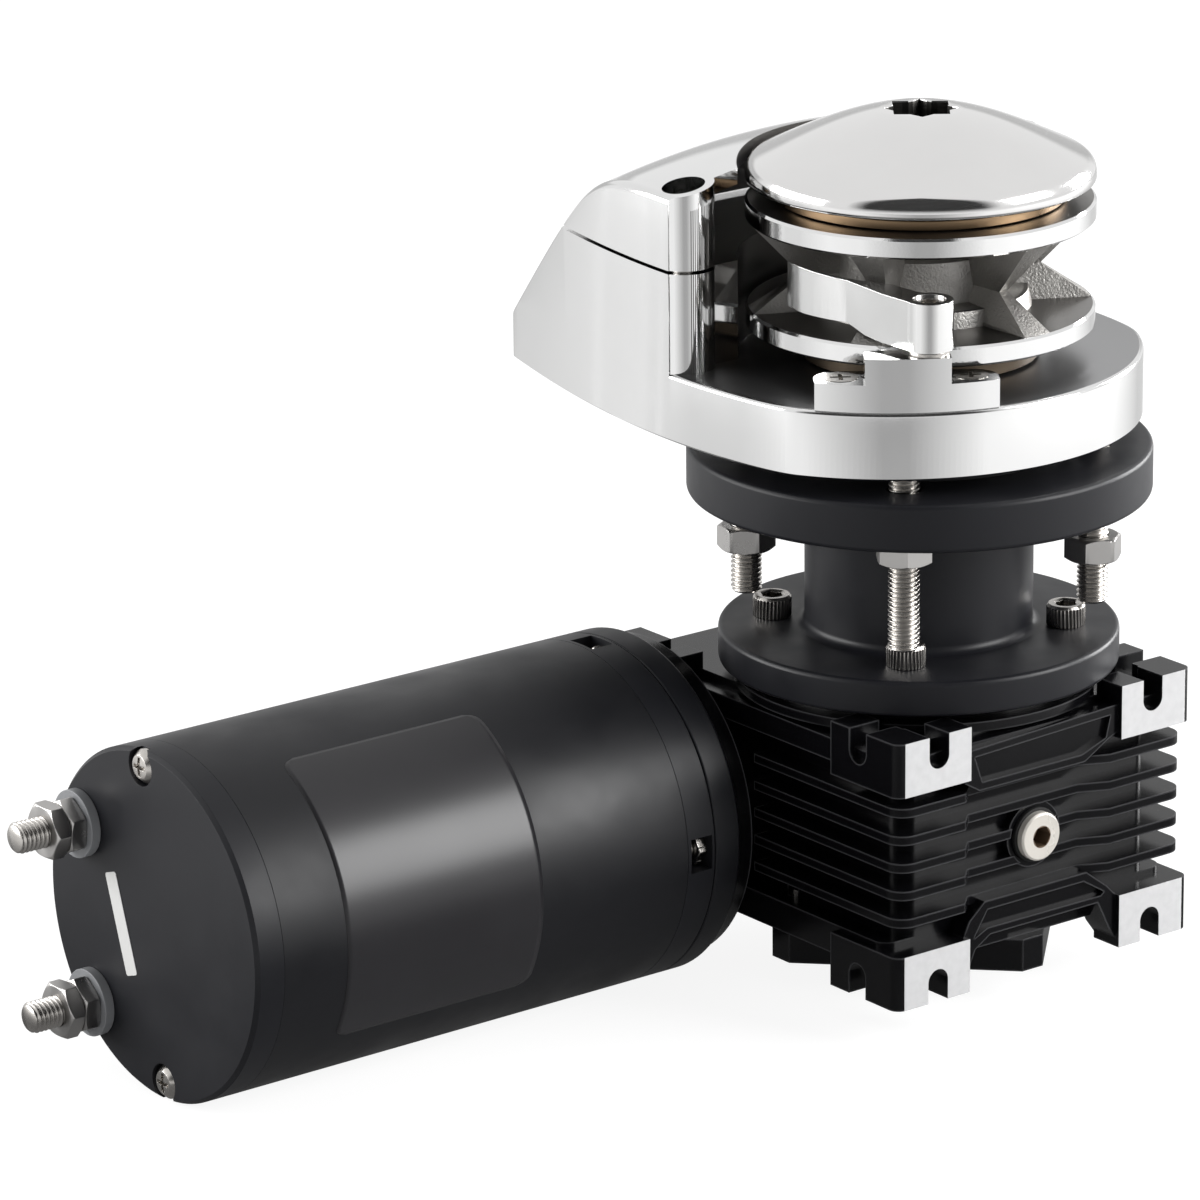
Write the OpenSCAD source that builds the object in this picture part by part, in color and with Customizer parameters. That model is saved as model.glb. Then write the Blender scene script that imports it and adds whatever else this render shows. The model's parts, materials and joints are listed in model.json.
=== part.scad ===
// Vertical anchor windlass for a small boat: chain and rope gypsy with a clutch cap above the deck,
// a worm gearbox and a direct current motor below it.
// Millimetres. The origin is on the main shaft's axis at the underside of the deck plate, +Z up.
// The hood points to +Y, the motor lies towards -X and the oil plug faces -Y.

/* [Deck plate] */
// Thickness of the deck plate
plate_t = 17.4; // [15:0.2:20]
// Radius of the plate's rounded front edge
plate_front_r = 64.4; // [62:0.2:68]
// How far the centre of that radius lies behind the shaft
plate_front_c = 12.4; // [10:0.2:14]
// Half of the plate's width at its widest
plate_half_w = 61; // [59:0.5:64]
// Where along Y the plate is widest
plate_side_y = 18; // [14:1:22]
// Half of the plate's width at the tail corners
tail_half_w = 45; // [42:0.5:50]
// Where along Y the tail corners are
tail_corner_y = 110; // [106:0.5:116]
// Where along Y the tail ends
tail_y = 117.5; // [114:0.5:124]
// Width of the chain hole through the plate
pipe_w = 28; // [24:1:32]
// Length of the chain hole
pipe_l = 44; // [38:1:46]
// Middle of the chain hole behind the shaft
pipe_y = 84; // [82:0.5:86]

/* [Hood] */
// Height of the hood's ridge over the deck
ridge_z = 69.4; // [67:0.2:74]
// Height of the seam between the lower casing and the cover
seam_z = 43; // [40:0.5:46]
// Width of that seam
seam_gap = 0.9; // [0.6:0.1:1.4]
// Radius of the crown across the hood, measured below the deck
crown_r = 200; // [180:5:220]
// Thickness of the hood's walls
hood_wall = 4; // [3:0.25:5]
// Radius that the hood keeps clear round the gypsy
hood_clear_r = 45.8; // [45.5:0.1:47]
// Front edge of the hood beside the gypsy
hood_front_y = 24.5; // [22:0.5:27]
// Radius of the screw bosses at the hood's mouth
hood_boss_r = 7.7; // [7.2:0.1:8.2]
// Centre of the left screw boss along Y
boss_left_y = 27.7; // [26:0.1:29]
// Centre of the right screw boss along Y
boss_right_y = 35; // [34:0.5:37]
// Diameter of the screw recess in the cover
recess_d = 10.8; // [10.6:0.1:11.4]

/* [Gypsy] */
// Radius of the gypsy's flanges
gypsy_r = 43.9; // [42:0.1:44.5]
// Height of the lower flange's underside over the plate
gypsy_gap = 8.2; // [7.6:0.1:9]
// Thickness of each flange
flange_t = 5.2; // [4.5:0.1:6]
// Opening between the flanges
groove_w = 22.2; // [20:0.2:24]
// Height of the parting line over the lower flange
parting_h = 8.7; // [8:0.1:10]
// Radius of the hub between the flanges
hub_r = 21; // [20:0.25:22.5]
// Number of chain pockets
pocket_n = 6; // [5:1:7]
// Width of a vane at its foot
vane_foot = 8.5; // [7:0.5:10]
// Width of a vane along its crest
vane_crest = 2.6; // [2:0.2:4]
// Radius at which the vanes start to slope out to the rim
vane_knee_r = 30.5; // [29:0.25:32]

/* [Clutch and cap] */
// Height of the cap
cap_h = 18; // [16:0.5:20]
// Gap between the cap and the upper flange
cap_gap = 4.4; // [4:0.1:5]
// Radius of the flat top round the handle socket
cap_top_r = 9.9; // [9.8:0.1:12]
// Side of the two squares that make the star socket
star_side = 13.6; // [12.6:0.2:13.8]
// Depth of the star socket
star_depth = 11; // [9:0.5:11.5]
// Radius of the bronze friction cone's rim
cone_rim_r = 36.5; // [34:0.5:38]
// Thickness of that rim
cone_rim_t = 2.8; // [2.2:0.1:3.2]
// Large radius of the friction tapers
taper_r = 25; // [24:0.25:25.5]
// How much the taper narrows
taper_in = 5.5; // [4.5:0.25:6]
// Height of the friction tapers
taper_h = 9; // [8:0.25:9.5]
// Travel of the cap and cone for one turn of the thread
cap_pitch = 2; // [1.5:0.25:2]

/* [Pressure arm] */
// Direction of the arm bracket seen from the centre of the plate's front edge
bracket_angle = 234.5; // [230:0.5:238]
// Length of the bracket along the plate's edge
bracket_w = 45.4; // [43:0.2:48]
// Depth of the bracket from the edge inwards
bracket_d = 14; // [13:0.2:15]
// Height of the bracket's wings
wing_h = 7; // [6:0.1:7.4]
// Width of the bracket's stem
stem_w = 21.2; // [20:0.2:24]
// Depth of the stem from the edge inwards
stem_d = 8.6; // [7.5:0.1:9]
// Height of the stem over the plate
stem_h = 13.6; // [13.4:0.1:14.5]
// Distance between the bracket's screws
bracket_screw_pitch = 32; // [31:0.2:34]
// Distance of the bracket's screws from the edge
bracket_screw_in = 8.6; // [8:0.1:9]
// Height of the arm
arm_h = 12.4; // [11.5:0.1:13]
// Radius of the arm's boss round its pin
arm_boss_r = 6; // [5.7:0.1:6.4]
// Radius of the arm's outer face about the shaft
arm_outer_r = 39.2; // [38.6:0.1:40]
// Radius of the arm's inner face about the shaft
arm_inner_r = 32.5; // [31.5:0.1:34]
// Bearing at which the arm's nose ends
arm_nose_angle = 171; // [166:1:176]
// Radius of the arm pin
arm_pin_r = 3; // [2.75:0.05:3.25]

/* [Stand] */
// Thickness of the deck gasket, which is the gap under the plate
gasket_t = 5; // [4:0.25:8]
// Radius of the clamp flange under the deck
clamp_r = 58.9; // [57:0.1:61]
// Thickness of the clamp flange
clamp_t = 12.4; // [11:0.1:14]
// Radius of the stand's column
column_r = 29.05; // [28:0.05:30]
// Height of the column between the flanges
column_h = 35.7; // [34:0.1:40]
// Radius of the flange on the gearbox
foot_r = 51; // [50:0.1:53]
// Thickness of that flange
foot_t = 9.1; // [8:0.1:10]
// Circle of the four deck studs
stud_pcd = 88; // [87.6:0.2:90]
// Radius of the deck studs
stud_r = 4; // [3.5:0.1:4]
// How far the studs reach into the plate
stud_in = 12; // [10:0.5:13]
// Length of stud below the nuts
stud_tail = 22.6; // [18:0.2:23]
// Width of the stud nuts across their flats
stud_nut_af = 13; // [12:0.5:13]
// Circle of the four gearbox screws
foot_pcd = 74.8; // [74:0.2:76]

/* [Gear housing] */
// Height of the housing over its mounting feet
box_h = 70.1; // [69.5:0.1:71]
// Half of the housing's width across the feet
box_half_w = 48.7; // [48:0.1:50]
// Front face of the feet before the shaft
box_front = 49.95; // [49:0.05:51]
// Back face of the housing behind the shaft
box_back = 65; // [64:0.5:67]
// Gap between the stand's flange and the tops of the feet
box_drop = 1.2; // [1:0.1:2]
// Height of the feet
feet_h = 14.1; // [13:0.1:15]
// Width of each foot along the front
feet_w = 23.8; // [23:0.1:25]
// Thickness of the feet's walls
feet_t = 9.6; // [8.5:0.1:10.5]
// Distance of the front slots from the middle
slot_x = 35.3; // [34.5:0.1:36]
// Width of the slots
slot_w = 6.4; // [6:0.1:7]
// Depth of the slots
slot_d = 8.6; // [8:0.1:9.5]
// How far the core lies inside the feet's faces
core_in = 7.5; // [6.5:0.1:8.5]
// Number of cooling fins
fin_n = 5; // [4:1:5]
// Pitch of the cooling fins
fin_pitch = 7.25; // [7:0.05:7.5]
// Thickness of the cooling fins
fin_t = 2.4; // [2:0.1:2.8]
// Radius of the oil plug's head
plug_r = 6.3; // [6:0.1:7]

/* [Worm gear] */
// Distance between the shaft and the worm
worm_offset = 40; // [39.6:0.2:40.4]
// Height of the worm's axis below the deck
worm_drop = 98.4; // [98:0.1:98.8]
// Number of teeth on the worm wheel
wheel_teeth = 30; // [30:1:30]
// Width of the worm wheel
wheel_w = 20; // [16:0.5:22]
// Radius of the main shaft through the stand
shaft_r = 12.5; // [12:0.1:12.5]
// Radius of the worm shaft
worm_shaft_r = 7.5; // [7:0.1:7.5]
// Length of the worm's thread
worm_l = 36; // [30:1:40]

/* [Motor] */
// Radius of the motor
motor_r = 44.7; // [44:0.1:46]
// Distance of the motor's far face from the shaft
motor_end = 209.6; // [205:0.2:215]
// Distance of the motor's near face from the shaft
motor_start = 61.2; // [60:0.1:62]
// Thickness of the adaptor plate and of the front bell
bell_t = 8.7; // [8:0.1:9.5]
// Thickness of the rear cap
rear_cap_t = 8; // [7:0.5:10]
// Wall of the motor's steel tube
tube_wall = 1.8; // [1.5:0.1:1.9]
// Turn of the motor about its axis
motor_turn = -4.3; // [-8:0.1:0]
// Distance of the through bolts from the motor's axis
bolt_circle = 40.2; // [39.5:0.1:40.4]
// Distance of the terminals in front of or behind the motor's axis
terminal_out = 28.3; // [26:0.1:30]
// Distance between the two terminals
terminal_pitch = 46; // [40:0.5:48]
// Radius of the terminal studs
terminal_r = 4; // [3:0.1:4]
// Length of the terminal studs outside the motor
terminal_l = 19.6; // [18:0.2:24]

/* [Clearances] */
// Radial clearance of a running fit
run_gap = 0.05; // [0.03:0.01:0.08]
// Radial clearance of a screw in its hole's thread
thread_gap = 0.05; // [0.02:0.01:0.1]
// Gap between parts that move past each other
move_gap = 0.3; // [0.25:0.05:0.4]

/* [Hidden] */
$fn = 48;

// Heights of the stacked parts, from the deck face up
flange1_z = plate_t + gypsy_gap;
groove_z = flange1_z + flange_t;
parting_z = groove_z + parting_h;
flange2_z = groove_z + groove_w;
gypsy_top = flange2_z + flange_t;
cap_z = gypsy_top + cap_gap;
cap_top = cap_z + cap_h;
// Heights of the stacked parts, from the deck face down
clamp_top = -gasket_t;
clamp_z = clamp_top - clamp_t;
foot_top = clamp_z - column_h;
foot_z = foot_top - foot_t;
box_top = foot_z - box_drop;
box_z = box_top - box_h;
worm_z = -worm_drop;
core_top = box_top - 3.6;
core_z = box_z + 7.5;
fins_top = box_top - feet_h - 4.6;

// Main shaft and its bearings
shaft_low_r = shaft_r - 1.5;
thread_r = 8;
shaft_end_r = shaft_r - 2.5;
shaft_shoulder_z = plate_t + 0.8;
shaft_top_z = cap_top - star_depth - 2;
bearing_w = 12;
upper_bearing_r = shaft_r + 11;
upper_bearing_z = worm_z + wheel_w / 2 + 6;
lower_bearing_r = shaft_end_r + 11;
lower_bearing_z = worm_z - wheel_w / 2 - 5 - bearing_w;
cone_base_z = shaft_shoulder_z;
cone_base_t = flange1_z - cone_base_z - 0.6;

// Clutch
bush_wall = 3;
bush_r = shaft_low_r + run_gap + bush_wall;
small_r = taper_r - taper_in;
key_w = 5;
key_rise = 2.3;
cone_slot_gap = 0.15;

// Worm gear, module two
gear_module = 2;
wheel_r = wheel_teeth * gear_module / 2;
worm_r = worm_offset - wheel_r;
worm_outer_r = worm_r + gear_module;
worm_root_r = worm_r - 1.15 * gear_module;
worm_lead = PI * gear_module;
chamber_r = wheel_r + gear_module + 1.3;
worm_bearing_w = 11;
worm_bearing_r = worm_shaft_r + 10;
worm_bearing_x = 36;

// Motor
bell_x = -motor_start - bell_t;
tube_x = bell_x - bell_t;
rear_x = -motor_end + rear_cap_t;
tube_in_r = motor_r - tube_wall;
core_r = 27;
core_l = 60;
core_x = (rear_x + tube_x) / 2 + 8;
commutator_r = 15;
commutator_l = 14;
commutator_x = core_x - core_l / 2 - 28;
rear_bearing_r = 14;
rear_bearing_w = 8;
rear_shaft_r = 6;
bolt_r = 2.5;
terminal_z = -2.2;
terminal_core_r = terminal_r - 0.2;

// Fasteners
m6_r = 3;
m6_head_r = 5;
m5_r = 2.5;
nut_h = 6.5;

// Plan of the plate and hood, and the hood's ridge line
big = 400;

function arc_pts(c, r, a0, a1, n) =
    [for (i = [0:n]) let (a = a0 + (a1 - a0) * i / n) c + r * [cos(a), sin(a)]];
function bezier(p, n) =
    [for (i = [0:n]) let (t = i / n, u = 1 - t)
        u * u * u * p[0] + 3 * u * u * t * p[1] + 3 * u * t * t * p[2] + t * t * t * p[3]];
function but_first(v) = [for (i = [1:len(v) - 1]) v[i]];
function but_last(v) = [for (i = [0:len(v) - 2]) v[i]];
function mirrored(v) = [for (i = [len(v) - 1:-1:0]) [-v[i][0], v[i][1]]];

// Left half of the outline, from the middle of the front to the middle of the tail, d inside the edge
function plan_half(d) =
    let (
        shoulder = 210,
        c = [0, plate_front_c],
        p = c + (plate_front_r - d) * [cos(shoulder), sin(shoulder)],
        s = [-(plate_half_w - d), plate_side_y],
        t = [-(tail_half_w - d), tail_corner_y - 0.6 * d],
        e = [0, tail_y - d]
    )
    concat(
        arc_pts(c, plate_front_r - d, 270, shoulder, 7),
        but_first(bezier([p, p + 8 * [sin(shoulder), -cos(shoulder)], s - [0, 10], s], 5)),
        but_first(bezier([s, s + [0, 30], t - [8.5, 29], t], 8)),
        but_first(bezier([t, t + [1.8, 5.5], e - [28, 0.5], e], 7))
    );
function plan(d) = concat(but_last(plan_half(d)), but_last(mirrored(plan_half(d))));
function ridge(d) =
    bezier([[28, ridge_z - d], [65, ridge_z - 0.4 - d], [60.3 - d / 2, 65 - d], [tail_y - 1 - d, 11.4 - d]], 12);

boss_left = [-(plate_half_w - hood_boss_r) - 0.15, boss_left_y];
boss_right = [plate_half_w - hood_boss_r - 1.3, boss_right_y];

module ring(ri, ro, z0, z1) {
    translate([0, 0, z0])
        difference() {
            cylinder(r = ro, h = z1 - z0);
            translate([0, 0, -1])
                cylinder(r = ri, h = z1 - z0 + 2);
        }
}

module disc(r, z0, z1) {
    translate([0, 0, z0])
        cylinder(r = r, h = z1 - z0);
}

// Copies the children to n places on a circle
module around(n, r, first) {
    for (i = [0:n - 1])
        rotate([0, 0, first + i * 360 / n])
            translate([r, 0, 0])
                children();
}

// Hexagon bar with chamfered ends, from z0 to z1
module hex_nut(af, hole_r, z0, z1) {
    h = z1 - z0;
    corner = af / sqrt(3);
    cut = corner - af / 2;
    translate([0, 0, z0])
        difference() {
            intersection() {
                cylinder(r = corner, h = h, $fn = 6);
                rotate_extrude()
                    polygon([
                        [0, 0], [af / 2 - 0.2, 0], [corner + 0.1, cut * 0.7],
                        [corner + 0.1, h - cut * 0.7], [af / 2 - 0.2, h], [0, h]
                    ]);
            }
            translate([0, 0, -1])
                cylinder(r = hole_r, h = h + 2);
        }
}

// Socket head screw hanging from the plane z = 0, with its head above
module cap_screw(r, head_r, head_h, l, key_r) {
    difference() {
        union() {
            rotate_extrude()
                polygon([[0, 0], [head_r, 0], [head_r, head_h - 0.5], [head_r - 0.5, head_h], [0, head_h]]);
            disc(r, -l, 0.1);
        }
        translate([0, 0, head_h * 0.45])
            cylinder(r = key_r, h = head_h, $fn = 6);
    }
}

// Ball bearing from z = 0 to z = w
module bearing(ri, ro, w, balls) {
    mid = (ri + ro) / 2;
    ball = (ro - ri) * 0.28;
    difference() {
        union() {
            ring(ri, mid - ball * 0.55, 0, w);
            ring(mid + ball * 0.55, ro, 0, w);
        }
        translate([0, 0, w / 2])
            rotate_extrude()
                translate([mid, 0])
                    circle(r = ball + 0.05, $fn = 32);
    }
    around(balls, mid, 0)
        translate([0, 0, w / 2])
            sphere(r = ball, $fn = 24);
}

// Turns the children's Z axis to +X on the worm's axis at the given x
module on_worm_axis(x) {
    translate([x, worm_offset, worm_z])
        rotate([0, 90, 0])
            children();
}

// On the worm's axis, a place at radius r and bearing a, counted from +Y towards +Z
module at_clock(r, a) {
    translate([-r * sin(a), r * cos(a), 0])
        children();
}

// Solid under the hood's crowned top, d inside it
module crown(d) {
    translate([0, 0, -crown_r])
        rotate([-90, 0, 0])
            rotate_extrude($fn = 96)
                polygon(concat(
                    [[0, -big / 4], [crown_r + ridge_z - d, -big / 4]],
                    [for (p = ridge(d)) [crown_r + p[1], p[0]]],
                    [[crown_r - 6, tail_y + 4], [0, tail_y + 4]]
                ));
}

// Ground covered by the hood
module hood_plan() {
    difference() {
        union() {
            intersection() {
                polygon(plan(0));
                translate([-big / 2, hood_front_y])
                    square(big);
            }
            intersection() {
                polygon(plan(0));
                for (b = [boss_left, boss_right])
                    translate(b)
                        circle(r = hood_boss_r);
            }
        }
        circle(r = hood_clear_r, $fn = 96);
    }
}

// Hollow of the hood, open to the gypsy
module hood_hollow() {
    difference() {
        intersection() {
            polygon(plan(hood_wall));
            translate([-big / 2, 0])
                square(big);
        }
        for (b = [boss_left, boss_right])
            translate(b)
                circle(r = hood_boss_r);
    }
}

module hood_form() {
    difference() {
        intersection() {
            crown(0);
            linear_extrude(height = ridge_z + 5)
                hood_plan();
        }
        intersection() {
            crown(hood_wall);
            translate([0, 0, plate_t])
                linear_extrude(height = ridge_z)
                    hood_hollow();
        }
    }
}

module chain_hole() {
    half = pipe_l / 2 - pipe_w / 2;
    for (s = [-1, 1])
        translate([0, pipe_y + s * half])
            circle(d = pipe_w);
    translate([-pipe_w / 2, pipe_y - half])
        square([pipe_w, 2 * half]);
}

module deck_plate() {
    color("gainsboro")
        difference() {
            union() {
                intersection() {
                    linear_extrude(height = plate_t)
                        polygon(plan(0));
                    crown(0);
                }
                intersection() {
                    hood_form();
                    translate([-big / 2, -big / 2, plate_t - 1])
                        cube([big, big, seam_z - plate_t + 1]);
                }
            }
            translate([0, 0, -1])
                linear_extrude(height = plate_t + 2)
                    chain_hole();
            disc(shaft_r + bush_wall, -1, plate_t + 1);
            around(4, stud_pcd / 2, 45)
                disc(stud_r + thread_gap, -1, stud_in + 0.5);
            for (b = [boss_left, boss_right])
                translate(b)
                    disc(m6_r + thread_gap, seam_z - 20, seam_z + 1);
            for (s = [-1, 1]) {
                bracket_place(s * bracket_screw_pitch / 2, bracket_screw_in)
                    disc(m5_r + thread_gap, plate_t - 9, plate_t + 1);
                translate([s * stripper_pitch / 2, stripper_y])
                    disc(m5_r + thread_gap, plate_t - 9, plate_t + 1);
            }
            bracket_place(arm_pin_t, arm_pin_in)
                disc(arm_pin_r + thread_gap, plate_t - 8, plate_t + 1);
        }
}

module hood_cover() {
    color("whitesmoke")
        difference() {
            intersection() {
                hood_form();
                translate([-big / 2, -big / 2, seam_z + seam_gap])
                    cube([big, big, big]);
            }
            for (b = [boss_left, boss_right])
                translate(b) {
                    disc(m6_r + 0.3, seam_z - 1, ridge_z);
                    disc(recess_d / 2, seam_z + 5, ridge_z + 5);
                }
        }
}

module hood_screws() {
    color("silver")
        for (b = [boss_left, boss_right])
            translate([b[0], b[1], seam_z + 5])
                cap_screw(m6_r, m6_head_r, 6, 22, 2.6);
}

// The stripper stands behind the gypsy, and its finger reaches into the groove
stripper_y = gypsy_r + 12;
stripper_pitch = 20;
stripper_half_w = 12;
stripper_front = gypsy_r + 2.6;
stripper_back = stripper_y + 4.1;

module chain_stripper() {
    top = parting_z + 0.5;
    color("dimgray")
        difference() {
            union() {
                translate([-stripper_pitch / 2 - 5, stripper_y - 5, plate_t])
                    cube([stripper_pitch + 10, 10, 5]);
                translate([-5.5, stripper_y - 5, plate_t + 4])
                    cube([11, 9, top - plate_t - 6]);
                translate([-stripper_half_w, stripper_front, top - 11.6])
                    cube([2 * stripper_half_w, stripper_back - stripper_front, 11.6]);
                translate([0, 0, top - 2])
                    linear_extrude(height = 2)
                        polygon([
                            [-3, vane_knee_r + 3.5], [3, vane_knee_r + 3.5],
                            [4.5, stripper_front + 1], [-4.5, stripper_front + 1]
                        ]);
            }
            for (s = [-1, 1])
                translate([s * stripper_pitch / 2, stripper_y])
                    disc(m5_r + 0.2, plate_t - 1, plate_t + 7);
        }
}

module stripper_screws() {
    color("silver")
        for (s = [-1, 1])
            translate([s * stripper_pitch / 2, stripper_y, plate_t + 5])
                cap_screw(m5_r, 4.25, 4, 13, 2);
}

// A place on the plate's front edge: t along the edge, in from it
module bracket_place(t, in) {
    translate([0, plate_front_c])
        rotate([0, 0, bracket_angle])
            translate([plate_front_r - in, t])
                children();
}

arm_pin_t = 5.4;
arm_pin_in = 5.2;
arm_pin_at = [0, plate_front_c]
    + (plate_front_r - arm_pin_in) * [cos(bracket_angle), sin(bracket_angle)]
    + arm_pin_t * [-sin(bracket_angle), cos(bracket_angle)];
stem_top = plate_t + stem_h;
arm_z = stem_top + 1.4;

// Ground covered by a pad of width w and depth d on the plate's edge
module edge_pad(w, d, corner) {
    intersection() {
        translate([0, plate_front_c])
            circle(r = plate_front_r, $fn = 96);
        bracket_place(0, d)
            union() {
                translate([corner, -w / 2])
                    square([d + 5, w]);
                translate([0, -w / 2 + corner])
                    square([d + 5, w - 2 * corner]);
                for (s = [-1, 1])
                    translate([corner, s * (w / 2 - corner)])
                        circle(r = corner);
            }
    }
}

module arm_bracket() {
    color("silver")
        difference() {
            union() {
                translate([0, 0, plate_t])
                    linear_extrude(height = wing_h)
                        edge_pad(bracket_w, bracket_d, 6);
                translate([0, 0, plate_t])
                    linear_extrude(height = stem_h)
                        edge_pad(stem_w, stem_d, 2);
            }
            for (s = [-1, 1])
                bracket_place(s * bracket_screw_pitch / 2, bracket_screw_in) {
                    disc(m5_r + 0.15, plate_t - 1, plate_t + wing_h + 1);
                    translate([0, 0, plate_t + wing_h - 2.8])
                        cylinder(r1 = m5_r + 0.15, r2 = 4.5, h = 2.9);
                }
            bracket_place(arm_pin_t, arm_pin_in)
                disc(arm_pin_r + thread_gap, plate_t - 1, stem_top + 1);
        }
}

module bracket_screws() {
    color("silver")
        for (s = [-1, 1])
            bracket_place(s * bracket_screw_pitch / 2, bracket_screw_in)
                difference() {
                    union() {
                        disc(m5_r, plate_t - 8.5, plate_t + wing_h - 1);
                        translate([0, 0, plate_t + wing_h - 2.65])
                            cylinder(r1 = m5_r, r2 = 4.4, h = 2.75);
                    }
                    for (a = [0, 90])
                        rotate([0, 0, a])
                            translate([-2.6, -0.55, plate_t + wing_h - 1.5])
                                cube([5.2, 1.1, 3]);
                }
}

module arm_pin() {
    color("silver")
        translate([arm_pin_at[0], arm_pin_at[1], 0])
            difference() {
                union() {
                    disc(arm_pin_r, plate_t - 7, arm_z + arm_h - 3.4);
                    disc(4.1, arm_z + arm_h - 3.5, arm_z + arm_h - 0.6);
                }
                translate([0, 0, arm_z + arm_h - 2.8])
                    cylinder(r = 2.3, h = 4, $fn = 6);
            }
}

module arm_washer() {
    color("silver")
        translate([arm_pin_at[0], arm_pin_at[1], 0])
            ring(arm_pin_r + thread_gap, arm_boss_r - 0.8, stem_top, arm_z - 0.1);
}

// Torsion spring in the arm's boss, round the pin
spring_wire_r = 0.45;
module arm_spring() {
    turns = 4;
    h = arm_h - 6.5;
    color("dimgray")
        translate([arm_pin_at[0], arm_pin_at[1], arm_z + 0.6])
            linear_extrude(height = h, twist = -360 * turns, slices = 40, segments = 6)
                translate([arm_pin_r + spring_wire_r + 0.2, 0])
                    circle(r = spring_wire_r, $fn = 6);
}

// Room in the groove between the vanes, as a ring section, kept clear by gap
module groove_ring(gap) {
    rotate_extrude($fn = 96)
        polygon([
            [vane_knee_r + 1.2, parting_z],
            [gypsy_r, groove_z + gap], [gypsy_r + 20, groove_z + gap],
            [gypsy_r + 20, flange2_z - gap], [gypsy_r, flange2_z - gap]
        ]);
}

module pressure_arm() {
    a0 = atan2(arm_pin_at[1], arm_pin_at[0]) + 360 - 30;
    rise = 3.6;
    color("silver")
        difference() {
            union() {
                translate([arm_pin_at[0], arm_pin_at[1], 0])
                    disc(arm_boss_r, arm_z, arm_z + arm_h);
                intersection() {
                    groove_ring(1);
                    linear_extrude(height = big)
                        polygon(concat(
                            [arm_pin_at + arm_boss_r * [-0.97, 0.24]],
                            arc_pts([0, 0], arm_outer_r, a0, arm_nose_angle + 2, 8),
                            [(arm_outer_r - 2) * [cos(arm_nose_angle), sin(arm_nose_angle)],
                             (arm_inner_r + 2) * [cos(arm_nose_angle), sin(arm_nose_angle)]],
                            arc_pts([0, 0], arm_inner_r, arm_nose_angle + 4, a0, 8),
                            [arm_pin_at + arm_boss_r * [0.4, 0.9]]
                        ));
                    translate([-big / 2, 0, 0])
                        rotate([90, 0, 90])
                            linear_extrude(height = big)
                                polygon([
                                    [-60, arm_z], [-28, arm_z], [12, arm_z + rise],
                                    [12, arm_z + arm_h + rise - 1.2], [-28, arm_z + arm_h], [-60, arm_z + arm_h]
                                ]);
                }
            }
            translate([arm_pin_at[0], arm_pin_at[1], 0]) {
                disc(arm_pin_r + run_gap, arm_z - 1, arm_z + arm_h + 1);
                disc(4.15, arm_z + arm_h - 3.6, arm_z + arm_h + 1);
                disc(arm_pin_r + 2 * spring_wire_r + 0.35, arm_z - 1, arm_z + arm_h - 5.2);
            }
        }
}

// One vane of a gypsy half: its side view in r and z, standing on the flange at z0 with its crest at z1
module vane(side, z0, z1) {
    intersection() {
        rotate([90, 0, 0])
            linear_extrude(height = 2 * vane_foot, center = true)
                polygon(side);
        rotate([90, 0, 90])
            linear_extrude(height = gypsy_r)
                polygon([
                    [-vane_foot / 2, z0], [vane_foot / 2, z0],
                    [vane_crest / 2, z1], [-vane_crest / 2, z1]
                ]);
    }
}

vane_phase = -88;
vane_in_r = hub_r - 2;
vane_rim_r = gypsy_r - 0.9;

module gypsy_lower() {
    recess = move_gap;
    color("silver")
        difference() {
            union() {
                rotate_extrude($fn = 96)
                    polygon([
                        [bush_r, parting_z], [hub_r, parting_z], [hub_r, groove_z + 4.5],
                        [hub_r + 6, groove_z + 4], [hub_r + 7, groove_z],
                        [gypsy_r - 0.6, groove_z], [gypsy_r, groove_z - 0.6],
                        [gypsy_r, flange1_z + 0.6], [gypsy_r - 0.6, flange1_z],
                        [taper_r + recess, flange1_z],
                        [small_r + recess, flange1_z + taper_h + recess], [bush_r, flange1_z + taper_h + recess]
                    ]);
                for (i = [0:pocket_n - 1])
                    rotate([0, 0, vane_phase + i * 360 / pocket_n])
                        vane([
                            [hub_r + 4, groove_z - 0.5], [vane_rim_r, groove_z - 0.5], [vane_rim_r, groove_z + 0.1],
                            [vane_knee_r, parting_z], [vane_in_r, parting_z], [vane_in_r, flange1_z + taper_h + 0.8]
                        ], groove_z - 0.5, parting_z);
            }
            around(3, dowel_pitch_r, 0)
                disc(2 + thread_gap, parting_z - 3.2, parting_z + 1);
        }
}

dowel_pitch_r = (bush_r + hub_r) / 2;

module gypsy_upper() {
    recess = move_gap;
    color("silver")
        difference() {
            union() {
                rotate_extrude($fn = 96)
                    polygon([
                        [bush_r, parting_z], [hub_r, parting_z], [hub_r, parting_z + 6.5], [hub_r + 8, flange2_z],
                        [gypsy_r - 0.6, flange2_z], [gypsy_r, flange2_z + 0.6],
                        [gypsy_r, gypsy_top - 0.6], [gypsy_r - 0.6, gypsy_top],
                        [taper_r + recess, gypsy_top],
                        [small_r + recess, gypsy_top - taper_h - recess], [bush_r, gypsy_top - taper_h - recess]
                    ]);
                for (i = [0:pocket_n - 1])
                    rotate([0, 0, vane_phase + i * 360 / pocket_n])
                        vane([
                            [vane_in_r, parting_z], [vane_knee_r, parting_z], [vane_rim_r, flange2_z - 0.1],
                            [vane_rim_r, flange2_z + 0.5], [hub_r + 4, flange2_z + 0.5],
                            [vane_in_r, gypsy_top - taper_h - 0.8]
                        ], flange2_z + 0.5, parting_z);
            }
            around(3, dowel_pitch_r, 0)
                disc(2 + thread_gap, parting_z - 1, parting_z + 4.2);
        }
}

module gypsy_bush() {
    color("peru")
        ring(shaft_low_r + run_gap, bush_r, flange1_z + taper_h + move_gap, gypsy_top - taper_h - move_gap);
}

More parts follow.
